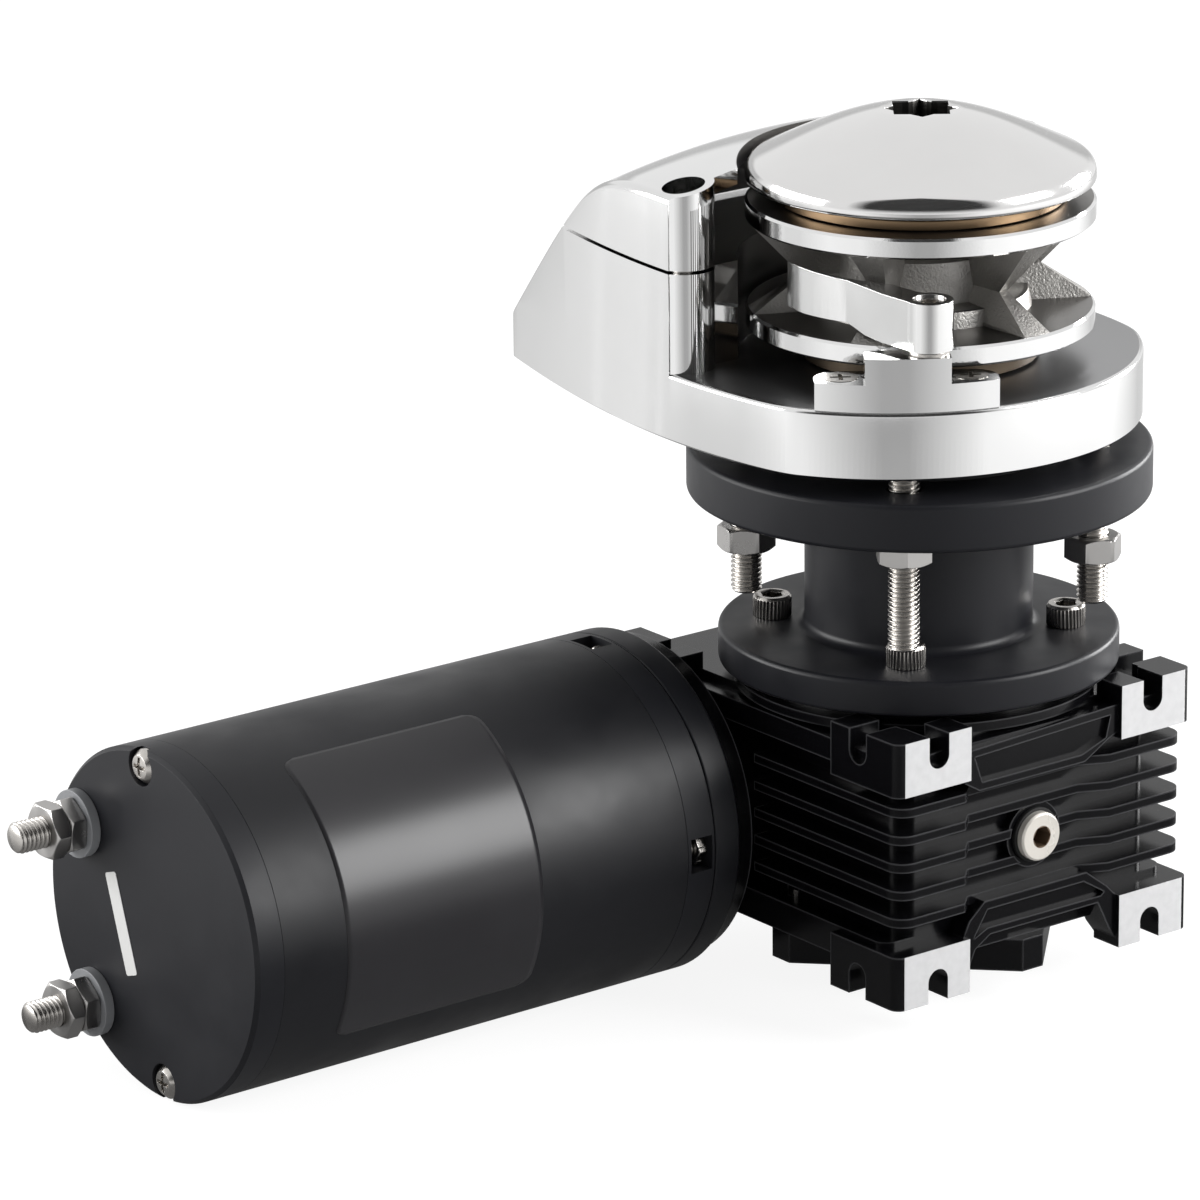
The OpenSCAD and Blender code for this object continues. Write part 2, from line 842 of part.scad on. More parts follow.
module gypsy_dowels() {
    color("silver")
        around(3, dowel_pitch_r, 0)
            disc(2, parting_z - 3, parting_z + 4);
}

// Keyway through a bore, sunk in the shaft and the hub
module key_slot(r, z0, z1, gap) {
    translate([0, -key_w / 2 - gap, z0])
        cube([r + key_rise + gap, key_w + 2 * gap, z1 - z0]);
}

module lower_cone() {
    color("peru")
        difference() {
            rotate_extrude($fn = 96)
                polygon([
                    [shaft_low_r + 0.02, cone_base_z], [taper_r + 5, cone_base_z],
                    [taper_r + 5, cone_base_z + cone_base_t - 1], [taper_r + 4, cone_base_z + cone_base_t],
                    [taper_r, cone_base_z + cone_base_t], [taper_r, flange1_z],
                    [small_r, flange1_z + taper_h], [shaft_low_r + 0.02, flange1_z + taper_h]
                ]);
            key_slot(shaft_low_r, cone_base_z - 1, flange1_z + taper_h + 1, 0.02);
        }
}

upper_key_z = gypsy_top - taper_h;

module upper_cone() {
    color("darkgoldenrod")
        difference() {
            rotate_extrude($fn = 96)
                polygon([
                    [shaft_low_r + run_gap, upper_key_z], [small_r, upper_key_z], [taper_r, gypsy_top],
                    [taper_r, gypsy_top + move_gap], [cone_rim_r, gypsy_top + move_gap],
                    [cone_rim_r, gypsy_top + move_gap + cone_rim_t - 0.5],
                    [cone_rim_r - 0.5, gypsy_top + move_gap + cone_rim_t],
                    [shaft_low_r + run_gap, gypsy_top + move_gap + cone_rim_t]
                ]);
            key_slot(shaft_low_r, upper_key_z - 1, gypsy_top + 10, cone_slot_gap);
        }
}

module clutch_keys() {
    color("dimgray") {
        translate([shaft_low_r - 2.5, -key_w / 2, cone_base_z + 0.5])
            cube([key_rise + 2.5, key_w, flange1_z + taper_h - cone_base_z - 1]);
        translate([shaft_low_r - 2.5, -key_w / 2, upper_key_z + 0.5])
            cube([key_rise + 2.5, key_w, taper_h - 0.5]);
        translate([shaft_low_r - 2.5, -key_w / 2, worm_z - wheel_w / 2 + 1])
            cube([key_rise + 2.5, key_w, wheel_w - 2]);
    }
}

// Outer line of the cap, from its flat top down to its rim
function cap_line() = concat(
    bezier([[cap_top_r, cap_top], [cap_top_r + 11, cap_top - 2], [gypsy_r - 13, cap_top - 7], [gypsy_r - 2.4, cap_top - 12]], 10),
    but_first(bezier([[gypsy_r - 2.4, cap_top - 12], [gypsy_r - 0.8, cap_top - 12.9], [gypsy_r, cap_z + 3.8],
        [gypsy_r, cap_z + 1.4]], 6)),
    [[gypsy_r - 0.2, cap_z + 0.5], [gypsy_r - 1, cap_z]]
);

module cap() {
    seat = gypsy_top + move_gap + cone_rim_t + 0.2;
    color("whitesmoke")
        difference() {
            rotate_extrude($fn = 96)
                polygon(concat(
                    [[0, cap_top]],
                    cap_line(),
                    [
                        [gypsy_r - 4, cap_z], [gypsy_r - 6, cap_z + 3], [16, cap_z + 5.5],
                        [15, seat], [thread_r + thread_gap, seat], [thread_r + thread_gap, shaft_top_z + 1],
                        [0, shaft_top_z + 1]
                    ]
                ));
            translate([0, 0, cap_top - star_depth])
                for (a = [7, 52])
                    rotate([0, 0, a])
                        translate([-star_side / 2, -star_side / 2, 0])
                            cube([star_side, star_side, star_depth + 1]);
        }
}

module deck_gasket() {
    color("dimgray")
        ring(shaft_r + bush_wall + 3, stud_pcd / 2 - stud_r - 1.5, clamp_top, 0);
}

module plate_bush() {
    color("peru")
        ring(shaft_r + run_gap, shaft_r + bush_wall, 0.2, plate_t - 0.2);
}

module stand() {
    fillet = 2.2;
    inner = shaft_r + bush_wall;
    color("dimgray")
        difference() {
            rotate_extrude($fn = 96)
                polygon(concat(
                    [
                        [inner, clamp_top], [clamp_r - 0.8, clamp_top], [clamp_r, clamp_top - 0.8],
                        [clamp_r, clamp_z + 0.8], [clamp_r - 0.8, clamp_z], [column_r, clamp_z]
                    ],
                    arc_pts([column_r + fillet, foot_top + fillet], fillet, 180, 270, 4),
                    [
                        [foot_r - 0.8, foot_top], [foot_r, foot_top - 0.8],
                        [foot_r, foot_z + 0.5], [foot_r - 0.5, foot_z], [inner + 6, foot_z],
                        [inner + 6, clamp_z - 6], [inner, clamp_z - 6]
                    ]
                ));
            around(4, stud_pcd / 2, 45)
                disc(stud_r + 0.4, clamp_z - 1, clamp_top + 1);
            around(4, foot_pcd / 2, 45)
                disc(m6_r + 0.3, foot_z - 1, foot_top + 1);
        }
}

module stand_bush() {
    color("peru")
        ring(shaft_r + run_gap, shaft_r + bush_wall, clamp_z - 5.8, clamp_top - 0.2);
}

module deck_studs() {
    color("silver")
        around(4, stud_pcd / 2, 45) {
            disc(stud_r, clamp_z - nut_h - stud_tail + 0.6, stud_in);
            translate([0, 0, clamp_z - nut_h - stud_tail])
                cylinder(r1 = stud_r - 0.6, r2 = stud_r, h = 0.6);
        }
}

module deck_nuts() {
    color("silver")
        around(4, stud_pcd / 2, 45)
            rotate([0, 0, 12])
                hex_nut(stud_nut_af, stud_r + thread_gap, clamp_z - nut_h, clamp_z);
}

module stand_screws() {
    color("silver")
        around(4, foot_pcd / 2, 45)
            translate([0, 0, foot_top])
                cap_screw(m6_r, m6_head_r, 5.8, foot_t + 11, 2.8);
}

// Plan of a fin or of the housing's core: a rounded box with a shallower middle of its front face
module box_plan(half_w, front, back, corner, waist) {
    difference() {
        hull_free_box(half_w, front, back, corner);
        if (waist > 0)
            translate([0, -front])
                polygon([[-27, -1], [-22, waist], [14, waist], [24, -1]]);
    }
}

// Box from -front to back with round front corners
module hull_free_box(half_w, front, back, corner) {
    translate([-half_w, -front + corner])
        square([2 * half_w, front + back - corner]);
    translate([-half_w + corner, -front])
        square([2 * (half_w - corner), corner + 1]);
    for (s = [-1, 1])
        translate([s * (half_w - corner), -front + corner])
            circle(r = corner);
}

// U-slot through a foot, with its round end at the origin and its mouth towards +Y of the sketch
module slot_shape() {
    circle(d = slot_w);
    translate([-slot_w / 2, 0])
        square([slot_w, slot_d + 5]);
}

side_slot_y = -34.5;
back_slot_y = 49;

// One corner foot at the left of the front, for the upper level; z0 is its underside
module foot(z0) {
    round_r = 3;
    difference() {
        translate([0, 0, z0])
            linear_extrude(height = feet_h)
                union() {
                    translate([-box_half_w, -box_front + round_r])
                        square([feet_t, 26 - round_r]);
                    translate([-box_half_w + round_r, -box_front])
                        square([feet_w - round_r, feet_t]);
                    translate([-box_half_w + round_r, -box_front + round_r])
                        circle(r = round_r);
                }
        translate([-slot_x, 0, z0 + feet_h - slot_d + slot_w / 2])
            rotate([90, 0, 0])
                linear_extrude(height = box_front + 5)
                    slot_shape();
        translate([-big / 2, side_slot_y, z0 + feet_h - slot_d + slot_w / 2])
            rotate([90, 0, 90])
                linear_extrude(height = big / 2 - 20)
                    slot_shape();
    }
}

// Foot at the left of the back
module back_foot(z0) {
    difference() {
        translate([-box_half_w, box_back - 26, z0])
            cube([feet_t, 26, feet_h]);
        translate([-big / 2, back_slot_y, z0 + feet_h - slot_d + slot_w / 2])
            rotate([90, 0, 90])
                linear_extrude(height = big / 2 - 20)
                    slot_shape();
    }
}

module four_feet() {
    for (m = [0, 1])
        mirror([m, 0, 0]) {
            foot(box_top - feet_h);
            back_foot(box_top - feet_h);
        }
}

// Web that joins the front feet, with a long pocket in it
module foot_bridge() {
    inner = box_half_w - feet_w;
    top = box_top;
    difference() {
        translate([0, -box_front + 1.5 + 9, 0])
            rotate([90, 0, 0])
                linear_extrude(height = 9)
                    polygon([
                        [-inner - 1, top - 7], [inner + 1, top - 5], [inner + 1, top - feet_h + 2],
                        [inner - 3, top - feet_h + 0.5], [14, top - feet_h - 4], [-inner + 4, top - feet_h - 4],
                        [-inner - 1, top - feet_h - 1]
                    ]);
        translate([0, -box_front + 3, 0])
            rotate([90, 0, 0])
                linear_extrude(height = 3)
                    polygon([
                        [-inner + 2.5, top - 9], [inner - 2.5, top - 7.5], [inner - 4, top - feet_h + 1],
                        [13, top - feet_h - 1.8], [-inner + 5, top - feet_h - 1.8]
                    ]);
    }
}

// Arch that joins the lower front feet
module foot_arch() {
    inner = box_half_w - feet_w;
    rise = 8.2;
    low = box_z + feet_h;
    difference() {
        translate([0, -box_front + 1.5 + 9, 0])
            rotate([90, 0, 0])
                linear_extrude(height = 9)
                    polygon([
                        [-inner - 1, low - 13], [-inner - 1, low], [-inner + 1, low + 4], [-inner + 6, low + rise],
                        [15, low + rise], [inner - 3, low + 3], [inner + 1, low - 1], [inner + 1, low - 13],
                        [inner - 2, low - 9], [inner - 6, low - 1], [-inner + 8, low - 1], [-inner + 3, low - 4]
                    ]);
        translate([0, -box_front + 3, 0])
            rotate([90, 0, 0])
                linear_extrude(height = 3)
                    polygon([
                        [-inner + 2.5, low - 1], [-inner + 7, low + rise - 2.4], [14, low + rise - 2.4],
                        [inner - 4, low + 1.6], [inner - 5, low + 0.8], [-inner + 7, low + 1]
                    ]);
    }
}

module gear_housing() {
    seat_r = chamber_r - 0.4;
    color("#202224")
        difference() {
            union() {
                translate([0, 0, core_z])
                    linear_extrude(height = core_top - core_z)
                        box_plan(box_half_w - core_in, box_front - core_in, box_back - 4, 5, 0);
                for (i = [0:fin_n - 1])
                    translate([0, 0, fins_top - i * fin_pitch - fin_t / 2])
                        linear_extrude(height = fin_t)
                            box_plan(box_half_w - 1.3, box_front - 0.8, 8, 5, 3.6);
                four_feet();
                translate([0, 0, box_top + box_z])
                    mirror([0, 0, 1])
                        four_feet();
                foot_bridge();
                foot_arch();
                translate([0, 0, core_top - 8])
                    linear_extrude(height = 6)
                        box_plan(box_half_w - 2, box_front - 3, box_back - 1, 4, 0);
                translate([0, 0, core_z])
                    linear_extrude(height = 8)
                        box_plan(box_half_w - 2, box_front - core_in, box_back - 1, 4, 0);
                disc(foot_r - 4, core_top - 1, core_top + 1.6);
                disc(foot_r - 8, core_top - 1, foot_z);
                on_worm_axis(-box_half_w - 3)
                    cylinder(r = worm_bearing_r + 8, h = 2 * box_half_w + 3);
                on_worm_axis(-motor_start)
                    cylinder(r = motor_r - 2.5, h = 5);
                on_worm_axis(-motor_start + 4.9)
                    cylinder(r1 = motor_r - 4, r2 = worm_bearing_r + 9, h = 9);
                on_plug_axis()
                    disc(plug_r + 2.4, -7, 0);
            }
            on_plug_axis()
                disc(plug_r + 1.7, 0, 9);
            disc(chamber_r, box_z - 1, worm_z + wheel_w / 2 + 5);
            disc(shaft_r + 8, worm_z, foot_z + 1);
            disc(upper_bearing_r + 0.02, worm_z, upper_bearing_z + bearing_w);
            on_worm_axis(-worm_bearing_x - worm_bearing_w)
                cylinder(r = worm_bearing_r + 0.02, h = worm_bearing_w);
            on_worm_axis(-worm_bearing_x - 1)
                cylinder(r = worm_outer_r + 2.5, h = 2 * worm_bearing_x + 2);
            on_worm_axis(worm_bearing_x)
                cylinder(r = worm_bearing_r + 0.02, h = box_half_w);
            on_worm_axis(-motor_start - 1)
                cylinder(r = worm_shaft_r + 5, h = motor_start);
            around(4, foot_pcd / 2, 45)
                disc(m6_r + thread_gap, foot_z - 12, foot_z + 1);
            around(4, cover_screw_r, 0)
                disc(m5_r + thread_gap, core_z - 1, core_z + 12);
            on_plug_axis()
                disc(plug_r - 1.6 + thread_gap, -9, 9);
            for (a = [0:90:270])
                on_worm_axis(-motor_start)
                    at_clock(adaptor_stud_r, a)
                        disc(m5_r + thread_gap, -1, 5);
        }
}

// The cover is a square plate set on its corner, with its corners cut off
cover_screw_r = chamber_r + 6.2;
cover_corner = cover_screw_r + 5.8;
cover_side = chamber_r + 1.1;
cover_t = 8.6;
cover_low = core_z - cover_t;
cover_seat = cover_low + 4.6;
adaptor_stud_r = motor_r - 6.2;

module bottom_cover() {
    color("#26282a")
        difference() {
            union() {
                translate([0, 0, cover_low])
                    linear_extrude(height = cover_t)
                        intersection() {
                            square(2 * cover_corner, center = true);
                            rotate([0, 0, 45])
                                square(2 * cover_side, center = true);
                        }
                disc(chamber_r - 0.1, core_z - 0.5, core_z + 4);
                disc(lower_bearing_r + 4, core_z - 0.5, lower_bearing_z + bearing_w - 1);
            }
            disc(lower_bearing_r + 0.02, lower_bearing_z, lower_bearing_z + bearing_w + 5);
            around(4, cover_screw_r, 0) {
                disc(m5_r + 0.3, cover_low - 1, core_z + 1);
                disc(4.6, cover_low - 1, cover_seat);
            }
        }
}

module cover_screws() {
    color("silver")
        around(4, cover_screw_r, 0)
            translate([0, 0, cover_seat])
                mirror([0, 0, 1])
                    cap_screw(m5_r, 4.25, 4.4, 13.6, 2);
}

// Puts the children on the oil plug's seat, which lies inside the feet's faces, with +Z facing out
module on_plug_axis() {
    translate([0, 4.95 - box_front, worm_z])
        rotate([90, 0, 0])
            children();
}

module plug_washer() {
    color("#303030")
        on_plug_axis()
            ring(plug_r - 1.6 + thread_gap, plug_r + 0.8, 0, 1.2);
}

module oil_plug() {
    color("lightgray")
        on_plug_axis()
            difference() {
                union() {
                    rotate_extrude()
                        polygon([[0, 1.2], [plug_r, 1.2], [plug_r, 2.8], [plug_r - 0.5, 3.3], [0, 3.3]]);
                    disc(plug_r - 1.6, -7.8, 1.3);
                }
                translate([0, 0, -1.7])
                    cylinder(r = 2.9, h = 6, $fn = 6);
            }
}

module main_shaft() {
    color("silver")
        difference() {
            rotate_extrude($fn = 64)
                polygon([
                    [0, lower_bearing_z + 0.5], [shaft_end_r, lower_bearing_z + 0.5],
                    [shaft_end_r, lower_bearing_z + bearing_w], [shaft_low_r, lower_bearing_z + bearing_w],
                    [shaft_low_r, worm_z + wheel_w / 2 + 2], [shaft_r, worm_z + wheel_w / 2 + 2],
                    [shaft_r, shaft_shoulder_z], [shaft_low_r, shaft_shoulder_z],
                    [shaft_low_r, gypsy_top + 0.2], [thread_r, gypsy_top + 0.2],
                    [thread_r, shaft_top_z], [0, shaft_top_z]
                ]);
            for (z = [[cone_base_z + 0.5, flange1_z + taper_h - 0.5], [upper_key_z + 0.5, gypsy_top],
                      [worm_z - wheel_w / 2 + 1, worm_z + wheel_w / 2 - 1]])
                translate([shaft_low_r - 2.5, -key_w / 2, z[0]])
                    cube([key_rise + 2.5, key_w, z[1] - z[0]]);
        }
}

// One tooth of the worm wheel, as points on the wheel's plan
function tooth(i) =
    let (pitch = 360 / wheel_teeth, a = i * pitch)
    [for (p = [[-0.30, wheel_r - 2.3], [-0.24, wheel_r - 1.6], [-0.12, wheel_r + 1.6],
               [0.12, wheel_r + 1.6], [0.24, wheel_r - 1.6], [0.30, wheel_r - 2.3]])
        p[1] * [cos(a + p[0] * pitch), sin(a + p[0] * pitch)]];

module worm_wheel() {
    color("darkgoldenrod")
        translate([0, 0, worm_z - wheel_w / 2])
            linear_extrude(height = wheel_w)
                difference() {
                    polygon([for (i = [0:wheel_teeth - 1]) for (p = tooth(i)) p]);
                    circle(r = wheel_r - 7);
                }
}

module wheel_hub() {
    color("dimgray")
        difference() {
            union() {
                ring(shaft_low_r + 0.02, wheel_r - 7, worm_z - wheel_w / 2 + 2, worm_z + wheel_w / 2 - 2);
                ring(shaft_low_r + 0.02, shaft_low_r + 6, worm_z - wheel_w / 2 - 1.5, worm_z + wheel_w / 2 + 1.5);
            }
            key_slot(shaft_low_r, worm_z - wheel_w, worm_z + wheel_w, 0.02);
        }
}

module shaft_bearing_upper() {
    color("silver")
        translate([0, 0, upper_bearing_z])
            bearing(shaft_r + 0.03, upper_bearing_r, bearing_w, 9);
}

module shaft_bearing_lower() {
    color("silver")
        translate([0, 0, lower_bearing_z])
            bearing(shaft_end_r + 0.03, lower_bearing_r, bearing_w - 0.6, 8);
}

module shaft_seal() {
    color("#303030")
        ring(shaft_r + 0.08, shaft_r + 7.95, upper_bearing_z + bearing_w, foot_z - 1);
}

// Cross section of the single-start worm thread
function worm_section() =
    [for (p = [[-180, 0], [-130, 0], [-95, 0], [-62, 0.5], [-38, 1], [0, 1], [38, 1], [62, 0.5], [95, 0], [130, 0]])
        let (r = worm_root_r + p[1] * (worm_outer_r - worm_root_r)) r * [cos(p[0]), sin(p[0])]];

// Turn of the thread that puts its crest into the wheel's gap
worm_phase = 270;

module worm_shaft() {
    color("silver") {
        on_worm_axis(-worm_l / 2)
            rotate([0, 0, worm_phase - 180 * worm_l / worm_lead])
                linear_extrude(height = worm_l, twist = -360 * worm_l / worm_lead,
                               slices = round(worm_l / worm_lead * 14), segments = 10)
                    polygon(worm_section());
        on_worm_axis(worm_l / 2)
            cylinder(r = worm_shaft_r, h = worm_bearing_x + worm_bearing_w - worm_l / 2);
        on_worm_axis(tube_x)
            cylinder(r = worm_shaft_r, h = -tube_x - worm_l / 2);
        on_worm_axis(rear_x)
            cylinder(r = rear_shaft_r, h = tube_x - rear_x);
    }
}

module worm_bearing_near() {
    color("silver")
        on_worm_axis(-worm_bearing_x - worm_bearing_w)
            bearing(worm_shaft_r + 0.03, worm_bearing_r, worm_bearing_w, 7);
}

module worm_bearing_far() {
    color("silver")
        on_worm_axis(worm_bearing_x)
            bearing(worm_shaft_r + 0.03, worm_bearing_r, worm_bearing_w, 7);
}

module worm_end_cap() {
    color("#26282a")
        on_worm_axis(worm_bearing_x + worm_bearing_w + 0.1) {
            cylinder(r = worm_bearing_r, h = box_half_w - worm_bearing_x - worm_bearing_w - 0.1);
            translate([0, 0, box_half_w - worm_bearing_x - worm_bearing_w - 0.2])
                cylinder(r1 = worm_bearing_r - 1, r2 = worm_bearing_r - 3, h = 2);
        }
}

module worm_seal() {
    color("#303030")
        on_worm_axis(-motor_start + 0.2)
            ring(worm_shaft_r + 0.08, worm_shaft_r + 4.95, 0, 7);
}

module motor_adaptor() {
    color("#2a2c2e")
        on_worm_axis(bell_x)
            difference() {
                rotate_extrude($fn = 96)
                    polygon([
                        [worm_shaft_r + 3, 0], [motor_r - 0.4, 0], [motor_r, 0.4],
                        [motor_r, bell_t - 1.2], [motor_r - 1.2, bell_t], [worm_shaft_r + 3, bell_t]
                    ]);
                for (a = [0:90:270])
                    at_clock(adaptor_stud_r, a)
                        disc(m5_r + 0.3, -1, bell_t + 1);
            }
}

window_l = 6.6;
window_w = 9;

module front_bell() {
    color("#2a2c2e")
        on_worm_axis(tube_x)
            difference() {
                union() {
                    rotate_extrude($fn = 96)
                        polygon([
                            [worm_shaft_r + 3, 2], [tube_in_r - 0.1, 2], [tube_in_r - 0.1, -3], [tube_in_r - 4, -3],
                            [tube_in_r - 4, 2], [motor_r - 0.5, 2], [motor_r, 0.5],
                            [motor_r, bell_t - 0.4], [motor_r - 0.4, bell_t], [worm_shaft_r + 3, bell_t]
                        ]);
                    ring(tube_in_r - 4, tube_in_r - 0.1, -3, 2.5);
                    disc(motor_r, 0, bell_t - 0.4);
                }
                disc(worm_shaft_r + 3, -5, bell_t + 1);
                for (a = [0:90:270]) {
                    at_clock(adaptor_stud_r, a)
                        disc(m5_r + 0.3, bell_t / 2, bell_t + 1);
                    at_clock(motor_r - 5, a)
                        rotate([0, 0, a])
                            translate([-window_w / 2, -6, (bell_t - window_l) / 2])
                                cube([window_w, 14, window_l]);
                }
                for (a = [90, 270])
                    at_clock(bolt_circle, a + motor_turn) {
                        disc(bolt_r + 0.5, -5, 0);
                        disc(bolt_r + thread_gap, -1, 0.8);
                    }
            }
}

module motor_tube() {
    color("#232527")
        on_worm_axis(rear_x)
            ring(tube_in_r, motor_r, 0, tube_x - rear_x);
}

module rear_cap() {
    color("#2a2c2e")
        on_worm_axis(-motor_end)
            difference() {
                union() {
                    rotate_extrude($fn = 96)
                        polygon([
                            [0, 0], [motor_r - 1, 0], [motor_r, 1], [motor_r, rear_cap_t],
                            [tube_in_r - 0.1, rear_cap_t], [tube_in_r - 0.1, rear_cap_t + 3],
                            [tube_in_r - 3, rear_cap_t + 3], [tube_in_r - 3, rear_cap_t],
                            [rear_bearing_r + 4, rear_cap_t], [rear_bearing_r + 4, rear_cap_t + rear_bearing_w + 1],
                            [0, rear_cap_t + rear_bearing_w + 1]
                        ]);
                }
                disc(rear_bearing_r + 0.02, rear_cap_t, rear_cap_t + rear_bearing_w + 3);
                for (a = [90, 270])
                    at_clock(bolt_circle, a + motor_turn) {
                        disc(bolt_r + 0.5, -1, rear_cap_t + 5);
                        disc(4.9, -1, 2.4);
                    }
                terminal_places(0)
                    disc(terminal_r + 0.6, -1, rear_cap_t + 4);
            }
}

module terminal_places(z) {
    rotate([0, 0, motor_turn])
        for (s = [-1, 1])
            translate([-(terminal_z + s * terminal_pitch / 2), terminal_out, z])
                children();
}

module magnets() {
    color("#3a3a3c")
        on_worm_axis(core_x - core_l / 2 - 8)
            for (a = [45:90:315])
                at_clock(0, 0)
                    rotate([0, 0, a + motor_turn])
                        linear_extrude(height = core_l + 16)
                            polygon(concat(
                                arc_pts([0, 0], tube_in_r - 0.15, -36, 36, 8),
                                arc_pts([0, 0], core_r + 1.6, 36, -36, 8)
                            ));
}

module armature_core() {
    color("#707478")
        on_worm_axis(core_x - core_l / 2)
            linear_extrude(height = core_l)
                difference() {
                    circle(r = core_r);
                    circle(r = rear_shaft_r + 0.02);
                    around(12, core_r, 0)
                        translate([-7, -1.6])
                            square([9, 3.2]);
                }
}

module windings() {
    color("chocolate")
        for (s = [0, 1])
            on_worm_axis(core_x + (2 * s - 1) * (core_l / 2 + 5.2))
                rotate_extrude()
                    polygon([
                        [rear_shaft_r + 0.02, -5], [core_r - 4, -5], [core_r - 2, -3],
                        [core_r - 2, 3], [core_r - 4, 5], [rear_shaft_r + 0.02, 5]
                    ]);
}

module commutator() {
    color("peru")
        on_worm_axis(commutator_x)
            linear_extrude(height = commutator_l)
                difference() {
                    circle(r = commutator_r);
                    circle(r = rear_shaft_r + 0.02);
                    around(16, commutator_r, 0)
                        translate([-1.5, -0.35])
                            square([3, 0.7]);
                }
}

brush_w = 7;
brush_l = 14;

module brushes() {
    color("#3c3c3c")
        on_worm_axis(commutator_x + commutator_l / 2)
            for (a = [45:90:315])
                rotate([0, 0, a + motor_turn])
                    translate([0, 0, -4.5])
                        difference() {
                            translate([commutator_r - 2, -brush_w / 2, 0])
                                cube([brush_l, brush_w, 9]);
                            translate([0, 0, -1])
                                cylinder(r = commutator_r + 0.1, h = 12);
                        }
}

module brush_holder() {
    color("#5a4632")
        on_worm_axis(commutator_x + commutator_l / 2)
            difference() {
                union() {
                    ring(commutator_r + 2, tube_in_r - 0.2, -8, -5.2);
                    for (a = [45:90:315])
                        rotate([0, 0, a + motor_turn])
                            translate([commutator_r + 2.6, -brush_w / 2 - 1.6, -6])
                                cube([20, brush_w + 3.2, 12.4]);
                }
                for (a = [45:90:315])
                    rotate([0, 0, a + motor_turn])
                        translate([commutator_r - 2, -brush_w / 2 - 0.1, -4.6])
                            cube([22, brush_w + 0.2, 9.2]);
                for (a = [90, 270])
                    at_clock(bolt_circle, a + motor_turn)
                        disc(bolt_r + 0.5, -10, 10);
            }
}

module rear_bearing() {
    color("silver")
        on_worm_axis(rear_x)
            bearing(rear_shaft_r + 0.03, rear_bearing_r, rear_bearing_w, 7);
}

module through_bolts() {
    color("silver")
        on_worm_axis(-motor_end)
            for (a = [90, 270])
                at_clock(bolt_circle, a + motor_turn)
                    difference() {
                        union() {
                            disc(bolt_r, 2, motor_end + tube_x + 0.6);
                            rotate_extrude()
                                polygon([[0, 2.3], [4.3, 2.3], [4.3, 1.2], [3, -0.2], [0, -0.6]]);
                        }
                        for (b = [0, 90])
                            rotate([0, 0, b])
                                translate([-2.4, -0.5, -1.5])
                                    cube([4.8, 1, 2.6]);
                    }
}

// Studs from the gear housing into the bell's windows, where their nuts are reached
module adaptor_studs() {
    color("silver")
        on_worm_axis(bell_x - bell_t / 2 - 1)
            for (a = [0:90:270])
                at_clock(adaptor_stud_r, a)
                    disc(m5_r, 0, 1.5 * bell_t + 5.8);
}

module adaptor_nuts() {
    color("silver")
        on_worm_axis(tube_x + (bell_t + window_l) / 2 - 3)
            for (a = [0:90:270])
                at_clock(adaptor_stud_r, a)
                    rotate([0, 0, a + 30])
                        hex_nut(8, m5_r + thread_gap, 0, 3);
}

terminal_washer_t = 2.6;
terminal_nut_end = terminal_washer_t + 9;

// The stud is full size on its free end and a little smaller under its nuts
module terminal_studs() {
    color("silver")
        on_worm_axis(-motor_end)
            terminal_places(0)
                difference() {
                    rotate_extrude()
                        polygon([
                            [0, -terminal_l], [terminal_r - 0.6, -terminal_l], [terminal_r, 0.6 - terminal_l],
                            [terminal_r, -terminal_nut_end - 0.4], [terminal_core_r, -terminal_nut_end - 0.4],
                            [terminal_core_r, rear_cap_t + 2], [0, rear_cap_t + 2]
                        ]);
                    rotate([0, 0, 30])
                        translate([-terminal_r - 1, -0.5, -terminal_l - 1])
                            cube([2 * terminal_r + 2, 1, 2.2]);
                }
}

module terminal_nuts() {
    color("silver")
        on_worm_axis(-motor_end)
            terminal_places(-terminal_washer_t) {
                rotate([0, 0, 10])
                    hex_nut(stud_nut_af, terminal_core_r + thread_gap, -4.6, 0);
                rotate([0, 0, 34])
                    hex_nut(stud_nut_af, terminal_core_r + thread_gap, -9, -4.65);
            }
}

// Insulating washers whose sleeves line the holes in the rear cap
module terminal_washers() {
    color("lightslategray")
        on_worm_axis(-motor_end)
            terminal_places(0) {
                ring(terminal_core_r + thread_gap, 8.6, -terminal_washer_t, 0);
                ring(terminal_core_r + thread_gap, terminal_r + 0.55, -0.5, rear_cap_t);
            }
}

deck_plate();
hood_cover();
hood_screws();
chain_stripper();
stripper_screws();
arm_bracket();
bracket_screws();
arm_pin();
arm_washer();
arm_spring();
pressure_arm();
gypsy_lower();
gypsy_upper();
gypsy_bush();
gypsy_dowels();
lower_cone();
upper_cone();
clutch_keys();
cap();
deck_gasket();
plate_bush();
stand();
stand_bush();
deck_studs();
deck_nuts();
stand_screws();
gear_housing();
bottom_cover();
cover_screws();
oil_plug();
plug_washer();
main_shaft();
worm_wheel();
wheel_hub();
shaft_bearing_upper();
shaft_bearing_lower();
shaft_seal();
worm_shaft();
worm_bearing_near();
worm_bearing_far();
worm_end_cap();
worm_seal();
motor_adaptor();
front_bell();
motor_tube();
rear_cap();
magnets();
armature_core();
windings();
commutator();
brushes();
brush_holder();
rear_bearing();
through_bolts();
adaptor_studs();
adaptor_nuts();
terminal_studs();
terminal_nuts();
terminal_washers();
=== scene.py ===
import json
import math

import bmesh
import bpy
from mathutils import Matrix, Vector


